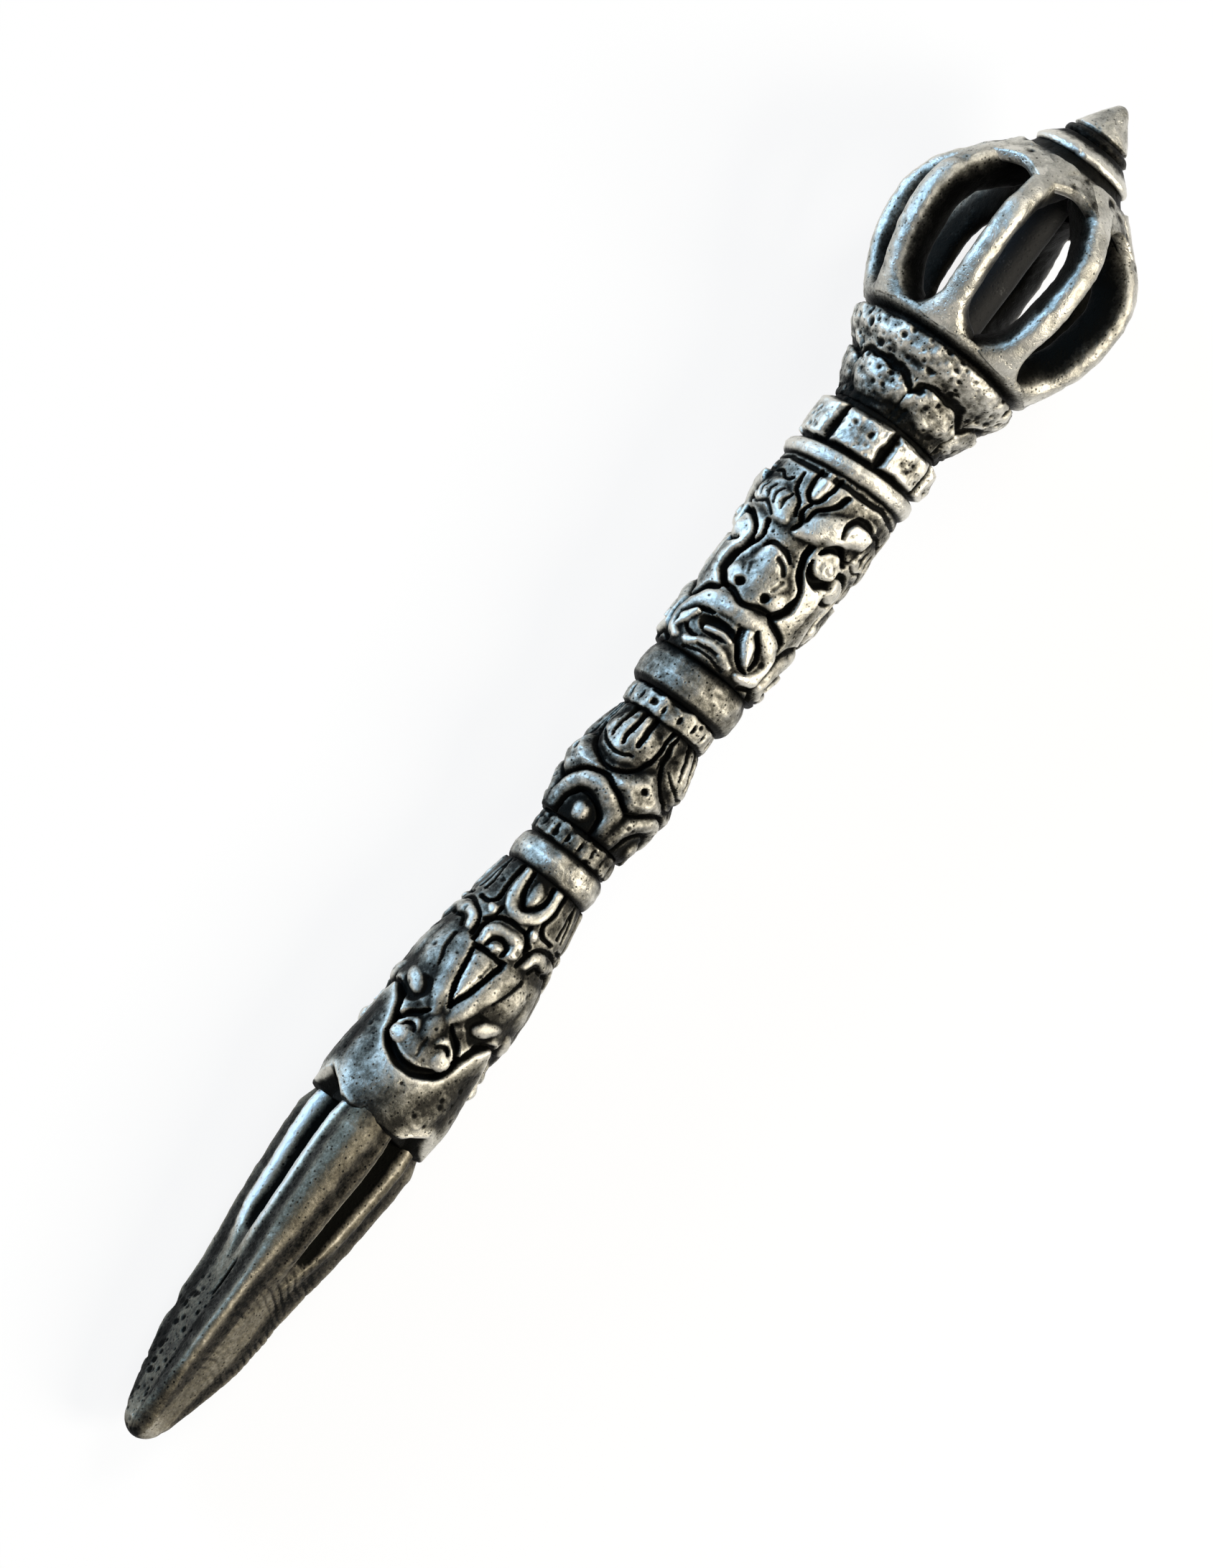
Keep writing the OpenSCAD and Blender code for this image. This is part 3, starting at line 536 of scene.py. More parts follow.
def monster_relief(u, v):
    c = Carving(u, v)
    # smooth lips, closed round the blade; below their edge the casting lets the blade out
    edge = np.interp(np.abs(u - 0.3), [0, 2.0, 3.0, 4.0, 5.2], [0.1, 0.15, 0.6, 1.4, 2.1])
    c.h = c.h - 1.7 * np.clip((edge - v) / 1.0, 0, 1)
    c.h = c.h + 0.28 * np.exp(-((v - 3.3) / 2.5) ** 2)
    c.swell(0.1, 3.0, 3.4, 3.4, 0.1)
    for c.side in (-1, 1):
        # long soft ridge from the eye down the lips
        c.bar([(5.1, 9.9), (4.75, 8.2), (4.5, 6.2), (4.1, 4.4), (3.4, 2.2)],
              [0.8, 1.2, 1.4, 1.2, 0.8], 0.12, base=c.h, power=2)
        # temple, brow and eye
        c.swell(3.9, 13.7, 1.9, 2.4, 0.4)
        c.hole(3.2, 10.1, 1.9, 1.1, 0.55, -35, power=1.1)
        c.hole(2.35, 8.9, 1.1, 0.9, 0.2)
        c.pad(3.55, 10.7, 1.5, 0.8, 0.75, 30, power=0.8, base=-0.35)
        # band that runs down beside the forehead
        c.bar([(2.3, 14.6), (1.85, 13.0), (1.2, 11.0), (0.6, 9.6)], [1.0, 0.85, 0.6, 0.5], 0.3,
              power=1.0)
        c.cut([(1.3, 14.9), (0.95, 13.4), (0.5, 11.8), (0.0, 10.6)], 0.22, 0.7)
        c.cut([(3.15, 14.9), (2.95, 13.6), (2.5, 12.4)], [0.2, 0.15, 0.08], 0.3)
        c.cut([(4.9, 9.8), (3.9, 9.1), (3.3, 8.0), (2.95, 7.2)], [0.25, 0.4, 0.35, 0.3], 0.7)
        # curls at the horn and leaves beside the crest
        c.pad(1.86, 18.0, 0.36, 0.45, 0.35, 45 * c.side)
        c.cut([(2.1, 15.6), (2.2, 16.5), (2.7, 17.3), (3.7, 17.7), (4.7, 17.4)], 0.18, 0.45)
        c.bar([(2.6, 15.9), (2.9, 16.8), (3.6, 17.0), (4.4, 16.5)], [0.3, 0.42, 0.45, 0.3], 0.35,
              power=0.8)
        c.cut([(3.2, 15.7), (3.5, 16.3), (4.1, 16.1)], 0.15, 0.4)
        c.cut([(1.95, 21.4), (2.15, 20.0), (2.0, 18.9), (2.5, 18.3), (3.4, 18.2)], 0.19, 0.5)
        c.cut([(3.2, 21.3), (3.3, 20.0), (3.5, 18.9)], 0.15, 0.4)
        c.cut([(1.35, 18.4), (1.5, 17.6), (2.0, 17.1)], 0.17, 0.45)
    # forehead between two deep grooves, a flat wedge that narrows to the nose
    c.bar([(-0.1, 14.3), (-0.08, 12.8), (-0.02, 11.2)], [0.72, 0.5, 0.1], 0.3, power=0.35)
    c.cut([(-1.4, 15.1), (0.0, 15.25), (1.3, 15.1)], 0.22, 0.6)
    # horn arch, its boss, crest and jewel
    c.cut([(-1.75, 15.4), (-1.75, 16.8), (-1.0, 17.75), (0.2, 18.0), (1.4, 17.7), (2.0, 16.6)],
          0.2, 0.55)
    c.bar([(-1.0, 15.8), (-1.1, 16.5), (-0.55, 17.0), (0.4, 17.1), (1.15, 16.8), (1.35, 16.0)],
          0.46, 0.42, power=0.7)
    c.cut([(-0.6, 15.6), (-0.45, 16.25), (0.15, 16.5), (0.75, 16.2), (0.85, 15.6)], 0.18, 0.5)
    c.pad(0.15, 15.75, 0.45, 0.36, 0.3)
    c.bar([(-1.35, 21.3), (-1.4, 20.0), (-1.0, 19.05), (0.08, 18.65), (1.15, 19.05), (1.5, 20.0),
           (1.45, 21.3)], [0.35, 0.45, 0.48, 0.48, 0.35], 0.42, power=0.7)
    c.cut([(-0.85, 21.3), (-0.82, 20.1), (0.08, 19.25), (0.95, 20.1), (1.0, 21.3)], 0.2, 0.6)
    c.pad(0.08, 20.35, 0.52, 0.75, 0.4)
    # snout with curled nostrils over a crescent mouth
    c.cut([(-2.95, 7.6), (-2.5, 6.3), (-1.3, 5.4), (0.08, 5.1), (1.4, 5.4), (2.5, 6.2),
           (3.0, 7.6)], [0.35, 0.42, 0.55, 0.55, 0.42, 0.35], 1.0)
    c.pad(0.1, 6.95, 2.4, 1.05, 0.45, power=0.9)
    c.pad(0.05, 8.2, 0.9, 1.7, 0.5, power=1.0)
    for c.side in (-1, 1):
        c.cut([(0.95, 9.5), (1.5, 8.9), (2.2, 8.4), (2.8, 7.6)], [0.15, 0.3, 0.35, 0.25], 0.5)
        c.pad(1.75, 6.85, 0.9, 0.8, 0.6, power=0.9)
        c.pad(1.0, 7.9, 0.75, 0.5, 0.45, 50, power=0.9)
        c.cut(arc_points(1.5, 7.35, 0.55, 0.5, 20, 160), 0.17, 0.4)
    c.cut([(0.15, 7.6), (0.05, 6.9), (0.15, 6.3)], [0.1, 0.2, 0.15], 0.15)
    return c.h


def knot_relief(u, v):
    c = Carving(u, v)
    # diamond pads, shared with the next repeat, each with a pit
    for c.side in (-1, 1):
        away = np.abs(u * c.side - 3.38) / 3.1 + np.abs(v - 4.85) / 2.2
        c.h = np.maximum(c.h, 0.5 * np.clip(1 - away, 0, 0.5) / 0.5)
        c.hole(3.2, 5.2, 0.3, 0.26, 0.5)
        c.cut([(2.75, 9.4), (2.7, 8.0), (2.95, 7.1)], 0.14, 0.4)
        c.swell(3.38, 1.25, 1.0, 1.3, 0.25)
    # knotted loop that hangs from the top, with the slots between its strands
    c.pad(-0.1, 7.6, 2.3, 1.85, 0.5, power=0.8)
    for slot_u, slot_end in ((-1.15, 7.4), (-0.15, 7.2), (0.85, 7.5)):
        c.cut([(slot_u - 0.1, 9.5), (slot_u, slot_end + 1.0), (slot_u + 0.05, slot_end)],
              [0.3, 0.24, 0.14], 0.6)
    c.cut([(-2.1, 7.4), (-1.3, 6.7), (-0.2, 6.4), (0.9, 6.7)], [0.1, 0.16, 0.16, 0.1], 0.3)
    # arch below, with a boss under it
    c.bar([(-2.45, 0.1), (-2.35, 1.9), (-1.45, 3.2), (0.1, 3.8), (1.45, 3.2), (2.3, 2.0),
           (2.4, 0.1)], 0.75, 0.42, power=0.8)
    c.cut([(-1.6, 0.2), (-1.5, 1.6), (-0.8, 2.5), (0.1, 2.75), (0.95, 2.4), (1.6, 1.6),
           (1.65, 0.2)], 0.2, 0.55)
    c.pad(0.1, 1.2, 0.85, 1.05, 0.42, power=0.9)
    c.cut([(-3.38, 2.55), (-2.5, 3.35), (-1.4, 4.25), (0.1, 4.7), (1.5, 4.2), (2.5, 3.35),
           (3.38, 2.55)], 0.19, 0.6)
    c.cut([(-2.6, 9.4), (-2.75, 7.7), (-2.2, 6.2), (-1.0, 5.4), (0.15, 5.2), (1.4, 5.7),
           (2.2, 7.0), (2.3, 9.4)], 0.18, 0.55)
    for c.side in (-1, 1):
        c.cut([(3.38, 2.6), (3.38, 0.1)], 0.18, 0.45)
    return c.h


def petal_relief(u, v):
    c = Carving(u, v)
    c.pad(0, 2.45, 2.75, 1.75, 0.55, power=0.6)
    c.cut([(-2.9, 3.0), (-2.0, 4.1), (0, 4.45), (2.0, 4.1), (2.9, 3.0)], 0.3, 0.4)
    for c.side in (-1, 1):
        c.cut([(3.24, 4.4), (3.24, 2.6), (3.24, 0.4)], [0.25, 0.6, 1.0], 0.8)
    return c.h


def block_relief(u, v):
    away = np.maximum(np.abs(u + 0.1) / 1.72, np.abs(v - 1.9) / 1.5)
    return 0.75 * np.clip((1.04 - away) / 0.22, 0, 1) ** 0.6


def bead_relief(u, v):
    """Low worn beads that have nearly run together."""
    c = Carving(u, v)
    c.h = c.h + 0.22 * np.clip((0.85 - np.abs(v - 0.95)) / 0.2, 0, 1)
    c.pad(0, 0.95, 0.7, 0.8, 0.1, power=0.9, base=0.22)
    for c.side in (-1, 1):
        c.hole(0.66, 1.0, 0.24, 0.36, 0.3, power=0.7)
    return c.h


# Blade: tables of (z, value). Its edges' radius and rounding, its blunt tip, and how deep the
# rod sits in its root

BLADE_R = [(0.0, 1.3), (1.3, 1.62), (1.9, 1.95), (4.0, 2.68), (6.1, 3.26), (8.1, 3.75),
           (10.2, 4.05), (12.3, 4.15), (15.4, 4.5), (19.5, 4.96), (24.7, 5.4), (26.6, 5.42),
           (28.2, 4.85), (29.6, 4.3)]
UNDER_LIPS = 29.6
BLADE_ROUND = [(0.0, 1.3), (3.0, 0.7), (7.0, 0.4), (14.0, 0.4), (18.0, 1.05), (BLADE_TOP, 1.6)]
TIP_R = 1.3
SOCKET = 7.0

# Half the width of a flute, its depth, and the rise of the bars beside it
FLUTE_HALF = [(14.0, 0.3), (17.0, 0.8), (18.2, 1.1), (22.0, 1.2), (BLADE_TOP, 1.4)]
FLUTE_DEPTH = [(14.0, 0.0), (16.5, 0.2), (17.8, 0.8), (19.5, 1.2), (BLADE_TOP, 1.5)]
BAR_HEIGHT = 0.34
BAR_RISE = [(13.0, 0.0), (17.0, 0.2), (BLADE_TOP, BAR_HEIGHT)]


def blade_section(phi, edge, rounding):
    """Polar radius of a triangle with round corners, phi from -60 to 60 degrees round a corner."""
    centre = edge - rounding
    flat = (centre / 2 + rounding) / np.cos(np.radians(60) - np.abs(phi))
    turn = np.arctan2(rounding * math.sin(math.pi / 3), centre + rounding / 2)
    inside = np.clip(rounding ** 2 - (centre * np.sin(phi)) ** 2, 0, None)
    arc = centre * np.cos(phi) + np.sqrt(inside)
    return np.where(np.abs(phi) < turn, arc, flat)


def blade(material):
    step = STEP * 1.06
    low = TIP_R * (1 - np.cos(np.radians(np.linspace(6, 84, int(TIP_R / step) + 4))))
    z = np.concatenate([low, np.arange(low[-1] + step, UNDER_LIPS, step), [UNDER_LIPS]])
    per = int(5.5 * 2 * math.pi / 3 / step)
    phi = (np.arange(per) / per - 0.5) * math.radians(120)
    edge = read_off(z, BLADE_R)
    rounding = np.minimum(read_off(z, BLADE_ROUND), edge)
    radius = blade_section(phi[None, :], edge[:, None], rounding[:, None])
    tip = np.clip(z / TIP_R, 0, 1)
    radius = radius * np.where(tip < 1, np.sqrt(1 - (1 - tip) ** 2), 1)[:, None]
    radius = np.tile(radius, (1, 3))
    columns = per * 3
    angle = np.tile(phi, 3) + np.repeat(np.arange(3), per) * 2 * math.pi / 3
    direction = directions(angle)
    # flutes: each lies along the middle of a face and runs out downward
    from_middle = np.abs(np.tile(phi, 3)) - math.pi / 3
    across = radius * np.sin(from_middle)[None, :]
    half, deep, raised = (read_off(z, table)[:, None]
                          for table in (FLUTE_HALF, FLUTE_DEPTH, BAR_RISE))
    radius = radius - deep * np.clip(1 - (across / half) ** 2, 0, 1) ** 0.5
    bars = np.exp(-((np.abs(across) - half - 0.5) / 0.5) ** 2)
    radius = radius + raised * bars
    # degrees to the right of the front edge, less than 0 on the left
    side = np.degrees(angle) - 360 * (np.degrees(angle) > 180)
    # slit low on the left face and a nick in the left edge
    slit = np.exp(-((side[None, :] + 34) / 3.2) ** 2)
    slit = slit * np.clip(1 - ((z[:, None] - 12.9) / 1.8) ** 2, 0, 1)
    radius = radius - 0.28 * slit
    nick = np.exp(-((side[None, :] + 120) / 14) ** 2) * np.exp(-((z[:, None] - 9.4) / 0.7) ** 2)
    radius = radius - 0.3 * nick
    flat = shell(radius, direction, z)
    calm = np.clip(z / 2.0, 0.2, 1)[:, None]
    radius = radius + lumps(flat, 1.0, 11).reshape(radius.shape) * calm
    dug = np.maximum(pits(flat, 0.9, 0.5, 0.26, 31), 0.7 * pits(flat, 0.55, 0.7, 0.2, 35))
    dug = dug.reshape(radius.shape)
    lower_left = np.clip((13.5 - z) / 3, 0, 1)[:, None] * (side[None, :] < -20)
    radius = radius - 0.19 * dug * (0.15 + 0.85 * lower_left)
    # faint curved scratches over the lower right face, which come and go
    away = np.tile((side - 60) / 60, len(z))
    s = flat[:, 2] + 0.9 * away * away + 0.3 * away + 0.4 * noise(flat, 3.1, 41)
    scratch = np.clip(np.sin(s * 9.5 + 1.6 * noise(flat, 1.1, 42)), 0.2, 1) - 0.2
    scratch = scratch * np.clip(0.5 + 1.4 * noise(flat, 2.3, 43), 0, 1)
    right = (np.clip((18.5 - z) / 3, 0, 1) * np.clip((z - 4) / 5, 0, 1))[:, None]
    right = right * np.clip((side[None, :] - 12) / 20, 0, 1)
    scratch_mark = scratch.reshape(radius.shape) * right
    radius = radius - 0.08 * scratch_mark
    wide, fine = marks(radius, 0.25 / step, 1.1 / step, 0.35)
    # painted shade on the three edges, and on the bars and the lips beside the flutes except on the
    # left face, whose bars get a painted highlight; patina in the flutes, the slit and the
    # scratches, and darker pitted metal low on the left face
    ridge = np.clip(1 - np.abs(np.tile(phi, 3)) / math.radians(30), 0, 1)[None, :] ** 0.5
    slot = np.clip(1.1 - (across / half) ** 2, 0, 1) * np.clip(deep / 0.6, 0, 1)
    on_left = (side[None, :] < 0) * (side[None, :] > -120)
    lip = np.exp(-((np.abs(across) - half - 0.1) / 0.35) ** 2) * np.clip(deep / 0.6, 0, 1)
    wide = np.clip(wide * 0.7 + 0.82 * ridge - 0.06 + 0.6 * slit + 1.2 * slot
                   + lower_left * (0.28 + 0.5 * dug) + 0.35 * lip * (1 - on_left)
                   + bars * raised / BAR_HEIGHT * (1.1 - 1.65 * on_left)
                   + 0.4 * scratch_mark, -1, 1)
    points = np.concatenate([
        shell(radius, direction, z), bore_ring(direction, UNDER_LIPS),
        bore_ring(direction, BLADE_TOP - SOCKET) * [0.98, 0.98, 1],
        [[0, 0, 0], [0, 0, BLADE_TOP - SOCKET]]])
    unseen = np.full(2 * columns, IN_BORE)
    obj = new_object("blade_carved", points, capped_faces(len(z) + 2, columns),
                     np.concatenate([wide.ravel(), unseen, [0.2, IN_BORE]]),
                     np.concatenate([fine.ravel(), unseen, [0, IN_BORE]]), material)
    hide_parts("blade")


# Cage: a prong is bent along two arcs, belly and shoulder, and runs straight on to the hub

CAGE_R = 9.9
BELLY_ARC_R = 13.054
SHOULDER_ARC_R = 7.0
PRONG_HALF = 1.1
PRONG_SQUARE = 0.82
SHOULDER = 45
PRONG_END_R = 4.4
PRONGS = 8
FIN_DEPTH = 2.3


def prong_line(step):
    """Points (r, z) and outward directions along the middle of a prong, from foot to hub."""
    def on_arc(arc_r, a):
        r = arc_r - PRONG_HALF
        return CAGE_R - arc_r + r * math.cos(a), WAIST + r * math.sin(a)

    sweep = math.degrees(math.asin((WAIST - PLATE_TOP) / (BELLY_ARC_R - PRONG_HALF)))
    points, ways = [], []
    for arc_r, low, high in ((BELLY_ARC_R, -sweep, 0), (SHOULDER_ARC_R, 0, SHOULDER)):
        for a in np.radians(np.arange(low, high, math.degrees(step / (arc_r - PRONG_HALF)))):
            points.append(on_arc(arc_r, a))
            ways.append((math.cos(a), math.sin(a)))
    slope = math.radians(SHOULDER)
    start = np.array(on_arc(SHOULDER_ARC_R, slope))
    run = (start[0] - PRONG_END_R) / math.sin(slope)
    way = np.array((-math.sin(slope), math.cos(slope)))
    for t in np.linspace(0, run, max(3, int(run / step))):
        points.append(tuple(start + way * t))
        ways.append((way[1], -way[0]))
    return np.array(points), np.array(ways)


def prong(index, material):
    step = STEP * 1.3
    line, out = prong_line(step)
    length = np.concatenate([[0], np.cumsum(np.linalg.norm(np.diff(line, axis=0), axis=1))])
    total = length[-1]
    # broad at the foot and where it runs into the hub, slimmer between
    to_foot = np.clip(1 - length / 2.8, 0, 1)
    to_hub = np.clip(1 - (total - length) / 3.4, 0, 1)
    seed = 60 + 5 * index
    wander = noise(np.stack([length, 0 * length, 0 * length + index], 1), 3.0, seed)
    side_half = 1.0 + 0.08 * wander + 1.7 * to_foot ** 2.2 + 0.9 * to_hub ** 1.6
    thick = 1.0 + 0.05 * wander + 0.1 * to_foot + 0.15 * to_hub
    around = max(18, int(2 * math.pi * PRONG_HALF / (STEP * 1.2)))
    a = np.arange(around) / around * 2 * math.pi
    ca, sa = np.cos(a), np.sin(a)
    cross_out = np.sign(ca) * np.abs(ca) ** PRONG_SQUARE
    cross_side = np.sign(sa) * np.abs(sa) ** PRONG_SQUARE
    turn = math.radians(CAGE_TURN + 360 / PRONGS * (index - 1))
    radial = np.array([math.cos(turn), math.sin(turn), 0])
    tangent = np.array([-math.sin(turn), math.cos(turn), 0])
    up = np.array([0, 0, 1.0])
    rows = []
    for k in range(len(line)):
        normal = out[k][0] * radial + out[k][1] * up
        centre = line[k][0] * radial + line[k][1] * up
        keep = PRONG_HALF - thick[k]
        inward = np.where(cross_out < 0, FIN_DEPTH, thick[k])
        taper = np.where(cross_out < 0, 1 - 0.35 * cross_out ** 2, 1)
        rows.append(centre + normal * keep + np.outer(cross_out * inward, normal)
                    + np.outer(cross_side * taper * side_half[k], tangent))
    points = np.concatenate(rows)
    n = len(line)
    faces_out = np.tile(ca, n)
    sideways = np.tile(np.abs(sa), n)
    direction = (np.repeat(out[:, 0], around)[:, None] * radial
                 + np.repeat(out[:, 1], around)[:, None] * up) * faces_out[:, None]
    direction = direction + np.tile(sa, n)[:, None] * tangent
    dents = pits(points, 1.5, 0.28, 0.4, seed + 3)
    at_top = np.clip((points[:, 2] - 109.5) / 2, 0, 1)
    bump = lumps(points, 1.5, seed) - dents * (0.05 + 0.14 * at_top)
    points = points + direction * bump[:, None]
    # the foot stands flat on the plate and the end lies flat on the hub
    points[:around, 2] = PLATE_TOP
    # painted shade: the prong is set dark on its side and inner faces, and along its sides near the
    # foot and the hub, and light on its outer face; patina in its dents
    shade = (-0.4 - 0.25 * faces_out + 2.0 * np.clip(0.35 - faces_out, 0, 1)
             + np.repeat(0.4 * to_foot ** 2, around) * (0.1 + sideways)
             + np.repeat(0.5 * to_hub ** 2, around) * sideways + 1.2 * dents * (0.2 + at_top))
    faces = bar_faces(n, around, inward=True)
    obj = new_object(f"cage_prong_{index}", lean(points), faces, np.clip(shade, -1, 1),
                     np.clip(-bump * 9, -1, 1), material, flat_from=len(faces) - 2)
    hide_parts(f"curved_prong_{index}")


# The web's outside is a cone on which radius and height add up to this, less its clearance
WEB_CONE = 7.85 + 110.65
WEB_CLEAR = 0.18
WEB_TOP = 113.3
WEB_ROWS = 22
WEB_THICK_R, WEB_THICK_Z, WEB_LIP = 1.0, 0.55, 0.35

# The hub's foot, its bore, and where the web's underside starts
HUB_FOOT = 111.872
HUB_BORE = BORE + 0.05
UNDER_R, UNDER_Z = 3.05, 112.57


def crown(material):
    """The hub with the arched web that joins the prongs' upper ends."""
    step = STEP * 1.4
    per = max(8, int(round(5.5 * 2 * math.pi / PRONGS / step)))
    columns = per * PRONGS
    phi = np.arange(columns) / per * (2 * math.pi / PRONGS)
    direction = directions(phi + math.radians(CAGE_TURN))
    part = np.abs((phi / (math.pi / PRONGS) + 1) % 2 - 1)
    edge_z = 111.75 - 1.1 * (1 - part) ** 1.7
    edge_r = WEB_CONE - edge_z - WEB_CLEAR

    def level(r, z):
        return np.full(columns, r), np.full(columns, z)

    loops = []
    for t in np.linspace(0, 1, WEB_ROWS):
        z = edge_z + t * (WEB_TOP - edge_z)
        loops.append((WEB_CONE - z - WEB_CLEAR - 0.15 * t ** 4, z))
    # recess between the web and the collar, painted dark as shade
    loops += [level(r, z) for r, z in ((4.55, 113.4), (4.35, 113.5), (4.15, 113.75),
                                       (3.95, 114.0), (3.8, COLLAR_FOOT))]
    # in to the bore, down it, and out along the underside
    loops += [level(r, COLLAR_FOOT) for r in np.linspace(3.3, HUB_BORE, 6)]
    loops += [level(HUB_BORE, z) for z in np.linspace(COLLAR_FOOT, HUB_FOOT, 6)[1:]]
    loops += [level(1.95 + 1.1 * t, HUB_FOOT + 0.7 * t) for t in np.linspace(0, 1, 8)[1:]]
    loops += [(UNDER_R + t * (edge_r - WEB_THICK_R - UNDER_R),
               UNDER_Z + t * (edge_z - WEB_THICK_Z - UNDER_Z)) for t in np.linspace(0.15, 1, 12)]
    for t in np.linspace(0.1, 0.9, 8):
        bend = math.sin(math.pi * t) * WEB_LIP
        loops.append((edge_r - WEB_THICK_R * (1 - t) + 0.3 * bend,
                      edge_z - WEB_THICK_Z * (1 - t) - bend))
    points = np.concatenate([np.column_stack([r[:, None] * direction, z]) for r, z in loops])
    bump = lumps(points, 1.6, 121) - 0.16 * pits(points, 1.0, 0.5, 0.32, 122)
    beyond_bore = np.hypot(points[:, 0], points[:, 1]) > 2.0
    points = points + outward(direction, len(loops)) * (bump * beyond_bore)[:, None]
    # painted shade: the web darkens towards the recess, the recess, bore and underside are set
    # dark, and the web's lower part and the outer rows of its lip are set light
    rim_from = len(loops) - 6
    shade = np.concatenate([np.clip((z - 112.9) / 0.4, 0, 1) * 0.7 - 0.45 if k < WEB_ROWS
                            else np.full(columns, -0.45 if k >= rim_from else 1.0)
                            for k, (r, z) in enumerate(loops)])
    obj = new_object("cage_crown", points, ring_faces(len(loops), columns, closed=True),
                     np.clip(shade - 3 * bump, -1, 1), np.clip(-bump * 9, -1, 1), material)
    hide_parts("hub")


# The bud's radius at each height above its foot, its blunt tip, and how deep its bore is
BUD_R = [(0, 2.45), (0.35, 2.68), (0.7, 2.55), (0.85, 2.15), (1.0, 2.12), (1.1, 2.3),
         (2.0, 1.78), (3.1, 1.02), (3.68, 0.62)]
BUD_TIP = 0.75
BUD_BORE = 1.6


def bud(material):
    """Cone with a rough neck band, closed to a blunt point."""
    step = STEP * 0.9
    end = np.radians(np.linspace(35, 88, 8))
    cone = np.arange(0, 3.6, step)
    z = np.concatenate([cone, TOP - BUD_FOOT - BUD_TIP + BUD_TIP * np.sin(end)])
    r = np.concatenate([read_off(cone, BUD_R), BUD_TIP * np.cos(end)])
    columns = int(2 * math.pi * 2.85 / step)
    direction = directions(np.arange(columns) / columns * 2 * math.pi)
    rows = shell(np.repeat(r[:, None], columns, 1), direction, z + BUD_FOOT)
    in_band = rows[:, 2] < BUD_FOOT + 1.3
    bump = lumps(rows, 1.4, 131) - 0.12 * pits(rows, 0.8, 0.5, 0.26, 133) * in_band
    calm = np.clip(np.repeat(r, columns), 0, 1)
    rows = rows + outward(direction, len(z)) * (bump * calm)[:, None]
    points = np.concatenate([
        bore_ring(direction, BUD_FOOT + BUD_BORE), bore_ring(direction, BUD_FOOT), rows,
        [[0, 0, BUD_FOOT + BUD_BORE], [0, 0, TOP]]])
    # painted highlight: the cone is set light, and the neck band below it darker
    low = np.clip((1.2 - np.repeat(z, columns)) / 0.3, 0, 1) * 1.25 - 0.75
    shade = np.concatenate([np.full(2 * columns, IN_BORE), low - 2 * bump, [IN_BORE, -0.2]])
    fine = np.concatenate([np.zeros(2 * columns), np.clip(-bump * 9, -1, 1), [0, 0]])
    obj = new_object("finial_bud", points, capped_faces(len(z) + 2, columns),
                     np.clip(shade, -1, 1), fine, material)
    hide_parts("bud")


ROD_R = 1.4
ROD_TOP = 117.55


def rod(material):
    """The rod, whose faintly uneven skin shows through the cage."""
    step = STEP * 1.6
    z = np.arange(BLADE_TOP - SOCKET + 0.06, ROD_TOP, step * 1.5)
    columns = max(24, int(2 * math.pi * ROD_R / step))
    direction = directions(np.arange(columns) / columns * 2 * math.pi)
    r = np.full(len(z), ROD_R)
    r[0] = r[-1] = ROD_R - 0.12
    points = shell(np.repeat(r[:, None], columns, 1), direction, z)
    bump = 0.4 * lumps(points, 1.0, 151)
    points = points + points * [1, 1, 0] / ROD_R * np.minimum(bump, 0.02)[:, None]
    faces = bar_faces(len(z), columns)
    obj = new_object("rod_turned", points, faces, np.full(len(points), 0.2),
                     np.clip(-bump * 20, -1, 1), material, flat_from=len(faces) - 2)
    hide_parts("central_rod")


# Materials: silvered white metal, worn bright where hands touch it and black in the hollows, into
# which some pieces also paint shade and highlights

def node(tree, kind, **inputs):
    made = tree.nodes.new(kind)
    for key, value in inputs.items():
        name = key.replace("_", " ")
        if name in made.inputs:
            made.inputs[name].default_value = value
        else:
            setattr(made, key, value)
    return made


def combine(tree, terms):
    """Sum of weighted sockets, as a chain of multiply-add nodes."""
    total = None
    for socket, weight in terms:
        link = tree.nodes.new("ShaderNodeMath")
        link.operation = "MULTIPLY_ADD"
        link.inputs[1].default_value = weight
        tree.links.new(socket, link.inputs[0])
        if total is None:
            link.inputs[2].default_value = 0.0
        else:
            tree.links.new(total, link.inputs[2])
        total = link.outputs[0]
    return total


def ramp(tree, source, stops, value=False):
    made = tree.nodes.new("ShaderNodeValToRGB")
    band = made.color_ramp
    while len(band.elements) < len(stops):
        band.elements.new(0.5)
    for element, (at, colour) in zip(band.elements, stops):
        element.position = at
        element.color = (*([colour] * 3 if value else colour), 1)
    tree.links.new(source, made.inputs[0])
    return made.outputs[0]


# Colours from bright metal to black patina
SILVER = [(0.0, (0.74, 0.71, 0.63)), (0.22, (0.5, 0.48, 0.42)), (0.42, (0.26, 0.25, 0.215)),
          (0.6, (0.115, 0.109, 0.09)), (0.76, (0.034, 0.032, 0.027)),
          (1.0, (0.008, 0.008, 0.007))]
BROWNED = [(0.0, (0.66, 0.65, 0.6)), (0.22, (0.42, 0.39, 0.32)), (0.42, (0.22, 0.2, 0.155)),
           (0.6, (0.125, 0.112, 0.083)), (0.78, (0.05, 0.045, 0.036)),
           (1.0, (0.006, 0.006, 0.005))]
STEEL = [(0.0, (0.5, 0.5, 0.48)), (0.5, (0.25, 0.25, 0.24)), (1.0, (0.03, 0.03, 0.03))]

# What the textures of the grain add up to in the mean, and how much the whole is brightened
MEAN_GRAIN = 0.57
BRIGHTER = 0.15


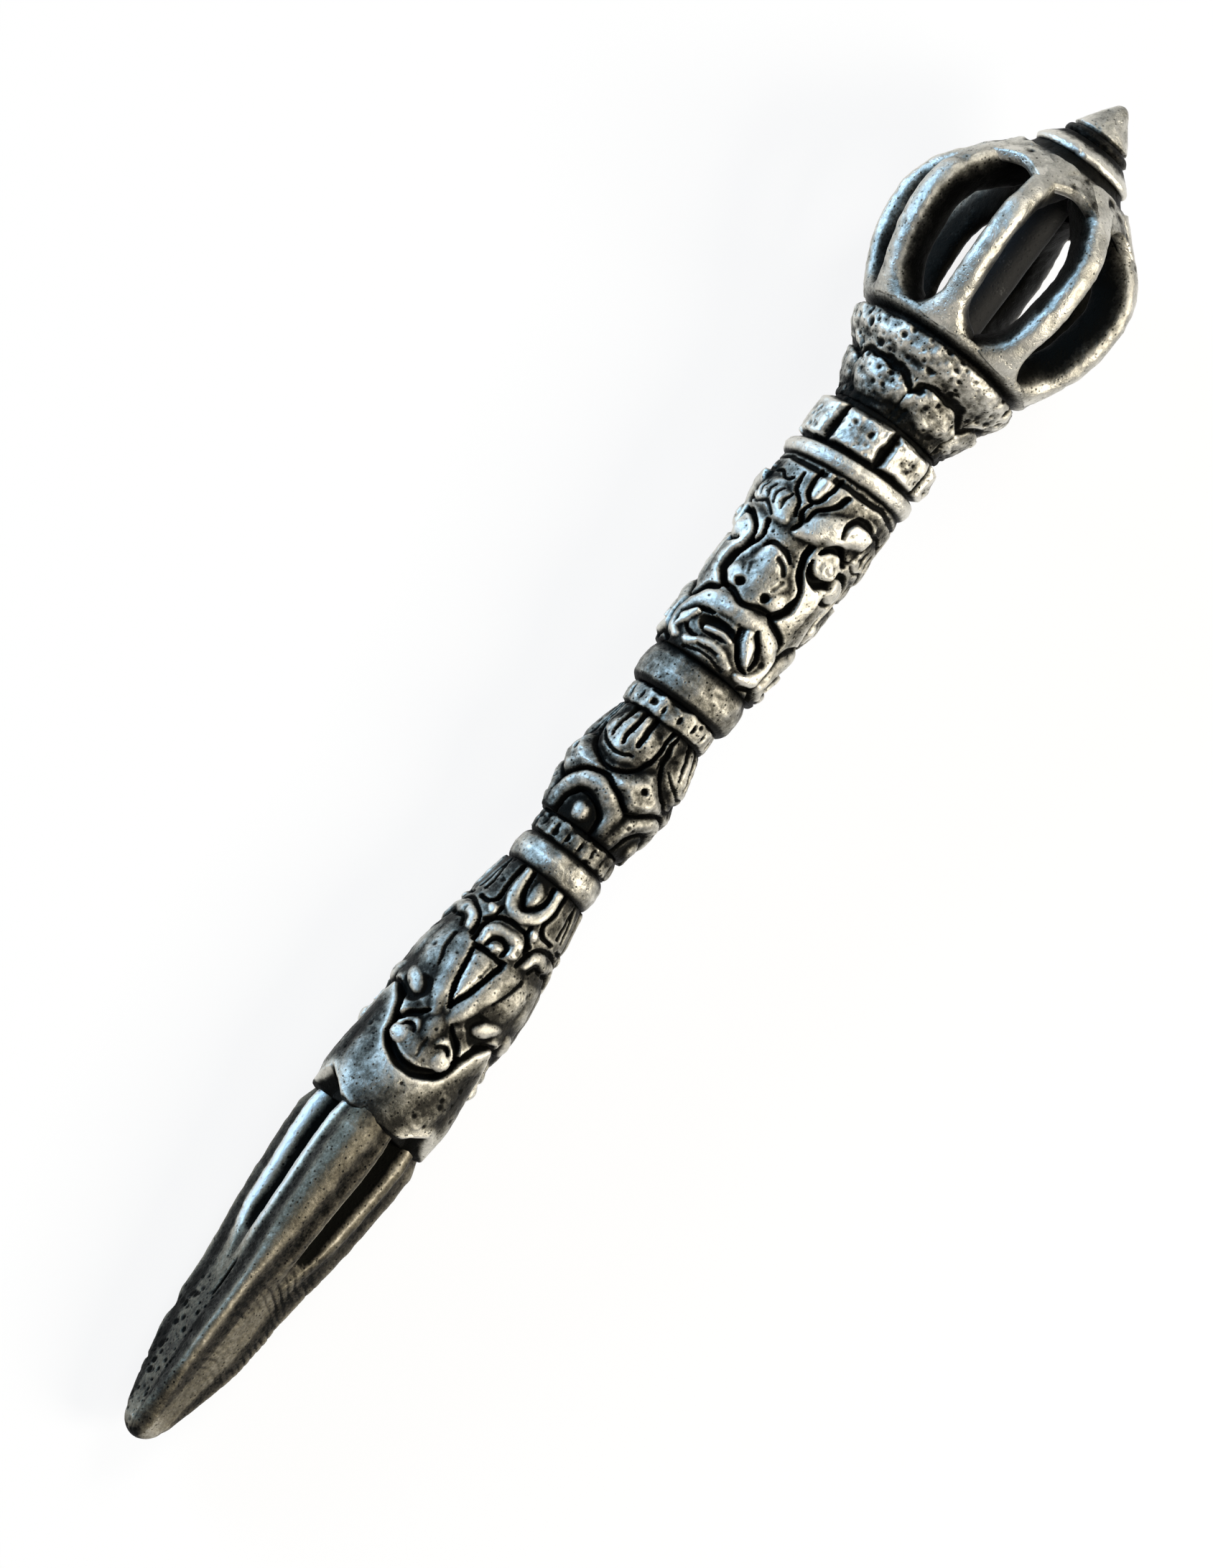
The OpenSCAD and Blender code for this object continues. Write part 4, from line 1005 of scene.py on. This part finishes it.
def metal(name, dark=0.0, rough=0.0, grain=1.0, colours=SILVER):
    """Worn metal with patina. dark moves the whole piece towards its patina."""
    made = bpy.data.materials.new(name)
    made.use_nodes = True
    tree = made.node_tree
    tree.nodes.clear()
    out = node(tree, "ShaderNodeOutputMaterial")
    shader = node(tree, "ShaderNodeBsdfPrincipled")
    tree.links.new(shader.outputs[0], out.inputs[0])
    where = node(tree, "ShaderNodeTexCoord").outputs["Object"]
    per_mm = 1 / MM
    mottle = node(tree, "ShaderNodeTexNoise", Scale=0.75 * per_mm, Detail=6.0, Roughness=0.62)
    speck = node(tree, "ShaderNodeTexNoise", Scale=4.2 * per_mm, Detail=4.0, Roughness=0.7)
    skin = node(tree, "ShaderNodeTexNoise", Scale=9.0 * per_mm, Detail=3.0, Roughness=0.6)
    rub = node(tree, "ShaderNodeTexNoise", Scale=0.3 * per_mm, Detail=3.0, Roughness=0.6)
    for texture in (mottle, speck, skin, rub):
        tree.links.new(where, texture.inputs["Vector"])
    # the first attribute is patina where the surface lies deep, and on some pieces also painted
    # shade and highlights
    patina_and_painted_light = node(tree, "ShaderNodeAttribute", attribute_name="patina_and_painted_light").outputs["Fac"]
    crease = node(tree, "ShaderNodeAttribute", attribute_name="crease").outputs["Fac"]
    pock = node(tree, "ShaderNodeTexVoronoi", Scale=2.3 * per_mm)
    tree.links.new(where, pock.inputs["Vector"])
    dots = ramp(tree, pock.outputs["Distance"], [(0.0, 1.0), (0.1, 0.9), (0.24, 0.0)], True)
    # patina, grain and the pieces' painted shade and highlights together set how dark the metal is
    tarnish_and_painted_light = combine(tree, [(patina_and_painted_light, 0.62), (crease, 0.22), (mottle.outputs[0], 0.42 * grain),
                             (speck.outputs[0], 0.7 * grain), (rub.outputs[0], 0.3),
                             (dots, 0.4 * grain)])
    shift = tree.nodes.new("ShaderNodeMath")
    shift.operation = "ADD"
    shift.inputs[1].default_value = MEAN_GRAIN + dark - MEAN_GRAIN * grain - BRIGHTER
    shift.use_clamp = True
    tree.links.new(tarnish_and_painted_light, shift.inputs[0])
    level = shift.outputs[0]
    tree.links.new(ramp(tree, level, colours), shader.inputs["Base Color"])
    shader.inputs["Metallic"].default_value = 1.0
    tree.links.new(ramp(tree, level, [(0.0, 0.3 + rough), (0.35, 0.37 + rough),
                                      (0.65, 0.5 + rough), (1.0, 0.62 + rough)], True),
                   shader.inputs["Roughness"])
    height = combine(tree, [(skin.outputs[0], 0.5), (speck.outputs[0], 0.9),
                            (mottle.outputs[0], 0.8), (dots, -0.5)])
    bump = node(tree, "ShaderNodeBump", Strength=0.8, Distance=0.00008)
    tree.links.new(height, bump.inputs["Height"])
    tree.links.new(bump.outputs[0], shader.inputs["Normal"])
    return made


def floor_material():
    """Pale floor, mostly white as the eye and the metal see it, that still takes the shadow."""
    made = bpy.data.materials.new("plain_floor")
    made.use_nodes = True
    tree = made.node_tree
    shader = tree.nodes["Principled BSDF"]
    shader.inputs["Base Color"].default_value = (0.9, 0.9, 0.9, 1)
    shader.inputs["Roughness"].default_value = 0.9
    shader.inputs["Specular IOR Level"].default_value = 0.1
    white = node(tree, "ShaderNodeEmission", Color=(1, 1, 1, 1), Strength=1.0)
    path = tree.nodes.new("ShaderNodeLightPath")
    share = 0.87
    seen = combine(tree, [(path.outputs["Is Camera Ray"], share),
                          (path.outputs["Is Glossy Ray"], share),
                          (path.outputs["Is Transmission Ray"], share)])
    mixed = tree.nodes.new("ShaderNodeMixShader")
    tree.links.new(seen, mixed.inputs[0])
    tree.links.new(shader.outputs[0], mixed.inputs[1])
    tree.links.new(white.outputs[0], mixed.inputs[2])
    tree.links.new(mixed.outputs[0], tree.nodes["Material Output"].inputs[0])
    return made


# The object

cast = metal("silvered_cast")
heads = metal("silvered_heads", dark=0.19, rough=0.07)
lower_heads = metal("silvered_lower_heads", dark=0.35, rough=0.07, grain=0.85)
knotted = metal("silvered_knot", dark=0.42, rough=0.08, grain=1.15)
smooth = metal("silvered_smooth", dark=0.11, rough=0.04, grain=0.9)
rough_cast = metal("silvered_rough", dark=0.07, rough=0.04, grain=1.15)
dark_cast = metal("silvered_plate", dark=0.25, rough=0.05, grain=1.2)
bright = metal("silvered_prongs", dark=-0.04, grain=0.85)
browned = metal("silvered_blade", dark=-0.04, rough=0.1, grain=0.9, colours=BROWNED)
old_steel = metal("old_steel", dark=0.45, rough=0.06, colours=STEEL)

DEITY_BASE = [(0, 4.22), (0.6, 4.38), (2.2, 4.45), (5.0, 4.42), (7.5, 4.48), (10.0, 4.68),
              (12.0, 4.8), (14.5, 4.9), (16.2, 4.92), (16.8, 4.75)]
MONSTER_BASE = [(0, 4.85), (1.5, 4.9), (3.0, 4.85), (5.2, 4.8), (7.0, 4.8), (10.4, 4.85),
                (12.4, 4.75), (14.5, 4.5), (16.6, 4.2), (18.7, 3.9), (20.7, 3.5), (21.5, 3.35)]
KNOT_BASE = [(0, 3.45), (1.0, 3.6), (2.0, 3.75), (3.2, 4.0), (4.8, 4.05), (6.0, 3.95),
             (7.2, 3.75), (9.3, 3.5), (9.6, 3.4)]
LOTUS_BASE = [(0, 4.5), (1.0, 4.55), (1.8, 4.85), (3.2, 5.5), (4.4, 6.2), (4.75, 6.5),
              (5.1, 6.75), (5.6, 6.9), (6.3, 6.95)]
BLOCK_BASE = [(0, 4.35), (1.9, 4.38), (3.7, 4.35)]
UPPER_RING_BASE = [(0, 3.8), (0.5, 4.1), (1.4, 4.22), (2.4, 4.12), (3.2, 3.85)]
LOWER_RING_BASE = [(0, 3.3), (0.5, 3.5), (1.25, 3.62), (2.0, 3.5), (2.5, 3.25)]
DIADEM_BASE = [(0, 4.75), (0.35, 5.0), (0.8, 5.12), (1.3, 5.0), (1.6, 4.7)]
PLATE_BASE = [(0, 5.8), (0.45, 5.85), (0.6, 6.5), (0.85, 7.1), (1.15, 7.3), (1.5, 7.3)]
COLLAR_BASE = [(0, 3.7), (0.12, 3.9), (0.45, 3.98), (0.8, 3.75), (1.1, 3.4), (1.4, 3.05),
               (1.7, 2.8)]

blade(browned)
rod(old_steel)
# of the lighter ovals, the one low on the left of the jaw is a painted highlight
casting("monster_heads_carved", BLADE_TOP, MONSTER_TOP, 0, 3, MONSTER_BASE, monster_relief,
        lower_heads, "monster_heads", seed=201, skin=1.1, pitted=[(0.9, 0.4, 0.2, 0.12)],
        proud=0.6, rubbed_and_highlit=[(-2.4, 3.4, 2.6, 4.6, 0.3), (0.2, 3.0, 6.5, 3.4, 0.3),
                             (-3.7, 13.2, 2.2, 2.9, 0.5), (3.7, 13.2, 2.2, 2.9, 0.5),
                             (0.0, 12.6, 2.4, 3.0, 0.25)])
casting("lower_ring_worn", MONSTER_TOP, LOWER_RING_TOP, 0, 18, LOWER_RING_BASE, None, bright,
        "lower_ring", width=3.6, seed=211, skin=1.4)
casting("lower_beads_worn", LOWER_RING_TOP, LOWER_BEAD_TOP, 0, 18, [(0, 3.05), (1.9, 3.05)],
        bead_relief, knotted, "lower_bead_ring", width=3.55, seed=221, skin=2.4, wobble=0.3,
        pitted=[(0.7, 0.5, 0.26, 0.25)])
casting("knot_carved", LOWER_BEAD_TOP, KNOT_TOP, KNOT_TURN, 4, KNOT_BASE, knot_relief, knotted,
        "knot", width=4.3, seed=231, skin=1.8, pitted=[(0.8, 0.4, 0.2, 0.12)], wobble=0.2)
casting("upper_beads_worn", KNOT_TOP, UPPER_BEAD_TOP, 4, 18, [(0, 3.3), (1.9, 3.35)],
        bead_relief, heads, "upper_bead_ring", width=3.85, seed=241, skin=2.0, wobble=0.25,
        pitted=[(0.9, 0.4, 0.26, 0.25)])
casting("upper_ring_worn", UPPER_BEAD_TOP, UPPER_RING_TOP, 0, 18, UPPER_RING_BASE, None, smooth,
        "upper_ring", width=4.2, seed=251, skin=1.4)
# of the lighter ovals, those on the right cheek and the right brow are painted highlights
casting("deity_heads_carved", UPPER_RING_TOP, DEITY_TOP, DEITY_TURN, 3, DEITY_BASE, deity_relief,
        heads, "deity_heads", width=4.95, seed=261, skin=1.5, pitted=[(0.9, 0.4, 0.2, 0.12)],
        proud=0.65, rim=0.04, wobble=0.19,
        rubbed_and_highlit=[(4.2, 8.2, 1.9, 2.6, 0.45), (0.0, 8.2, 2.0, 1.6, 0.3),
                  (2.6, 13.8, 2.6, 1.3, 0.4)])
casting("diadem_ring_worn", DEITY_TOP, DIADEM_TOP, 0, 18, DIADEM_BASE, None, bright,
        "diadem_ring", width=5.1, seed=271, skin=1.4)
casting("block_band_pitted", DIADEM_TOP, BAND_TOP, BLOCK_TURN + 180 / 7, 7, BLOCK_BASE,
        block_relief, rough_cast, "block_band", width=4.95, seed=281, skin=2.6,
        pitted=[(0.8, 0.55, 0.24, 0.2), (0.5, 0.5, 0.17, 0.14)])
casting("lotus_pitted", BAND_TOP, LOTUS_TOP, LOTUS_TURN + 30, 6, LOTUS_BASE, petal_relief,
        rough_cast, "lotus", width=6.2, seed=291, skin=3.0,
        pitted=[(1.1, 0.5, 0.33, 0.3), (0.55, 0.5, 0.2, 0.16)], wobble=0.4, proud=0.8)
casting("cage_plate_cast", LOTUS_TOP, PLATE_TOP, 0, 8, PLATE_BASE, None, dark_cast, "cage_base",
        width=7.6, seed=301, skin=2.4, rim=0.02, worn=0.2, rubbed_and_highlit=[(0, 1.35, 9, 0.55, 0.55)])
for number in range(1, PRONGS + 1):
    prong(number, bright)
crown(cast)
casting("collar_worn", COLLAR_FOOT, BUD_FOOT, 0, 8, COLLAR_BASE, None, cast, "collar", width=3.9,
        seed=311, skin=1.8, rim=0.05)
bud(cast)


# Floor, lights and camera

def area_light(name, stand, size, power, colour, target):
    lamp = bpy.data.lights.new(name, "AREA")
    lamp.shape = "RECTANGLE"
    lamp.size, lamp.size_y = size
    lamp.energy = power
    lamp.color = colour
    obj = bpy.data.objects.new(name, lamp)
    obj.location = stand
    obj.rotation_mode = "QUATERNION"
    obj.rotation_quaternion = (target - stand).to_track_quat("-Z", "Y")
    bpy.context.scene.collection.objects.link(obj)


lowest = min(cad_box[0].z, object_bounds()[0].z)
floor_mesh = bpy.data.meshes.new("floor")
FLOOR_HALF = 3.0
floor_mesh.from_pydata([(x * FLOOR_HALF, y * FLOOR_HALF, 0)
                        for x, y in ((-1, -1), (1, -1), (1, 1), (-1, 1))], [], [(0, 1, 2, 3)])
floor = bpy.data.objects.new("floor", floor_mesh)
floor.location.z = lowest - 0.00001
floor_mesh.materials.append(floor_material())
bpy.context.scene.collection.objects.link(floor)

# Camera: the photograph looks 7 degrees from straight down, turned a little about the axis
FRAME_W, FRAME_H = 1689, 2184
PIXELS_PER_MM = 19.39
LEAN = 36.77
TOWARD_POINT = 7.0
ROUND_AXIS = 2.4
DISTANCE = 0.84
SENSOR = 36.0
MIDDLE_PIXEL = (881.5, 1066.5)

turn_c = math.radians(ROUND_AXIS)
across = FRONT * math.cos(turn_c) + RIGHT * math.sin(turn_c)
tip_lean = math.radians(TOWARD_POINT)
to_camera = (across * math.cos(tip_lean) - AXIS * math.sin(tip_lean)).normalized()
along_frame = (AXIS - to_camera * AXIS.dot(to_camera)).normalized()
beside_frame = along_frame.cross(to_camera)
s, c = math.sin(math.radians(LEAN)), math.cos(math.radians(LEAN))
frame_x = along_frame * s + beside_frame * c
frame_y = along_frame * c - beside_frame * s
middle_point = POINT + AXIS * TOP / 2 * MM
mm_x = (MIDDLE_PIXEL[0] - FRAME_W / 2) / PIXELS_PER_MM
mm_y = (FRAME_H / 2 - MIDDLE_PIXEL[1]) / PIXELS_PER_MM
aim = middle_point - frame_x * mm_x * MM - frame_y * mm_y * MM
camera_data = bpy.data.cameras.new("camera")
camera_data.sensor_width = SENSOR
camera_data.lens = SENSOR * DISTANCE / (FRAME_H / PIXELS_PER_MM * MM)
camera_data.clip_start = 0.01
camera_data.clip_end = 20.0
camera = bpy.data.objects.new("camera", camera_data)
camera.matrix_world = Matrix.Translation(aim + to_camera * DISTANCE) @ Matrix(
    (frame_x, frame_y, to_camera)).transposed().to_4x4()
bpy.context.scene.collection.objects.link(camera)
bpy.context.scene.camera = camera

left = aim - beside_frame * 1.0 + to_camera * 0.22 + along_frame * 0.1
right = aim + beside_frame * 0.9 + to_camera * 0.5 + along_frame * 0.3
low_end = aim + beside_frame * 0.2 + to_camera * 0.9 - along_frame * 1.0
top_end = aim + beside_frame * 0.1 + to_camera * 0.7 + along_frame * 1.0
area_light("window_left", left, (0.4, 0.9), 17.0, (0.36, 0.65, 1.0), aim)
area_light("bright_right", right, (0.4, 0.5), 12.0, (1.0, 0.93, 0.8), aim)
area_light("low_end", low_end, (0.5, 0.4), 3.0, (1.0, 0.95, 0.88), aim)
area_light("top_end", top_end, (0.5, 0.5), 5.0, (1.0, 0.97, 0.9), aim)

world = bpy.data.worlds.new("studio")
world.use_nodes = True
world.node_tree.nodes["Background"].inputs[0].default_value = (0.9, 0.94, 1.0, 1)
world.node_tree.nodes["Background"].inputs[1].default_value = 0.15
bpy.context.scene.world = world
bpy.context.scene.view_settings.view_transform = "Standard"
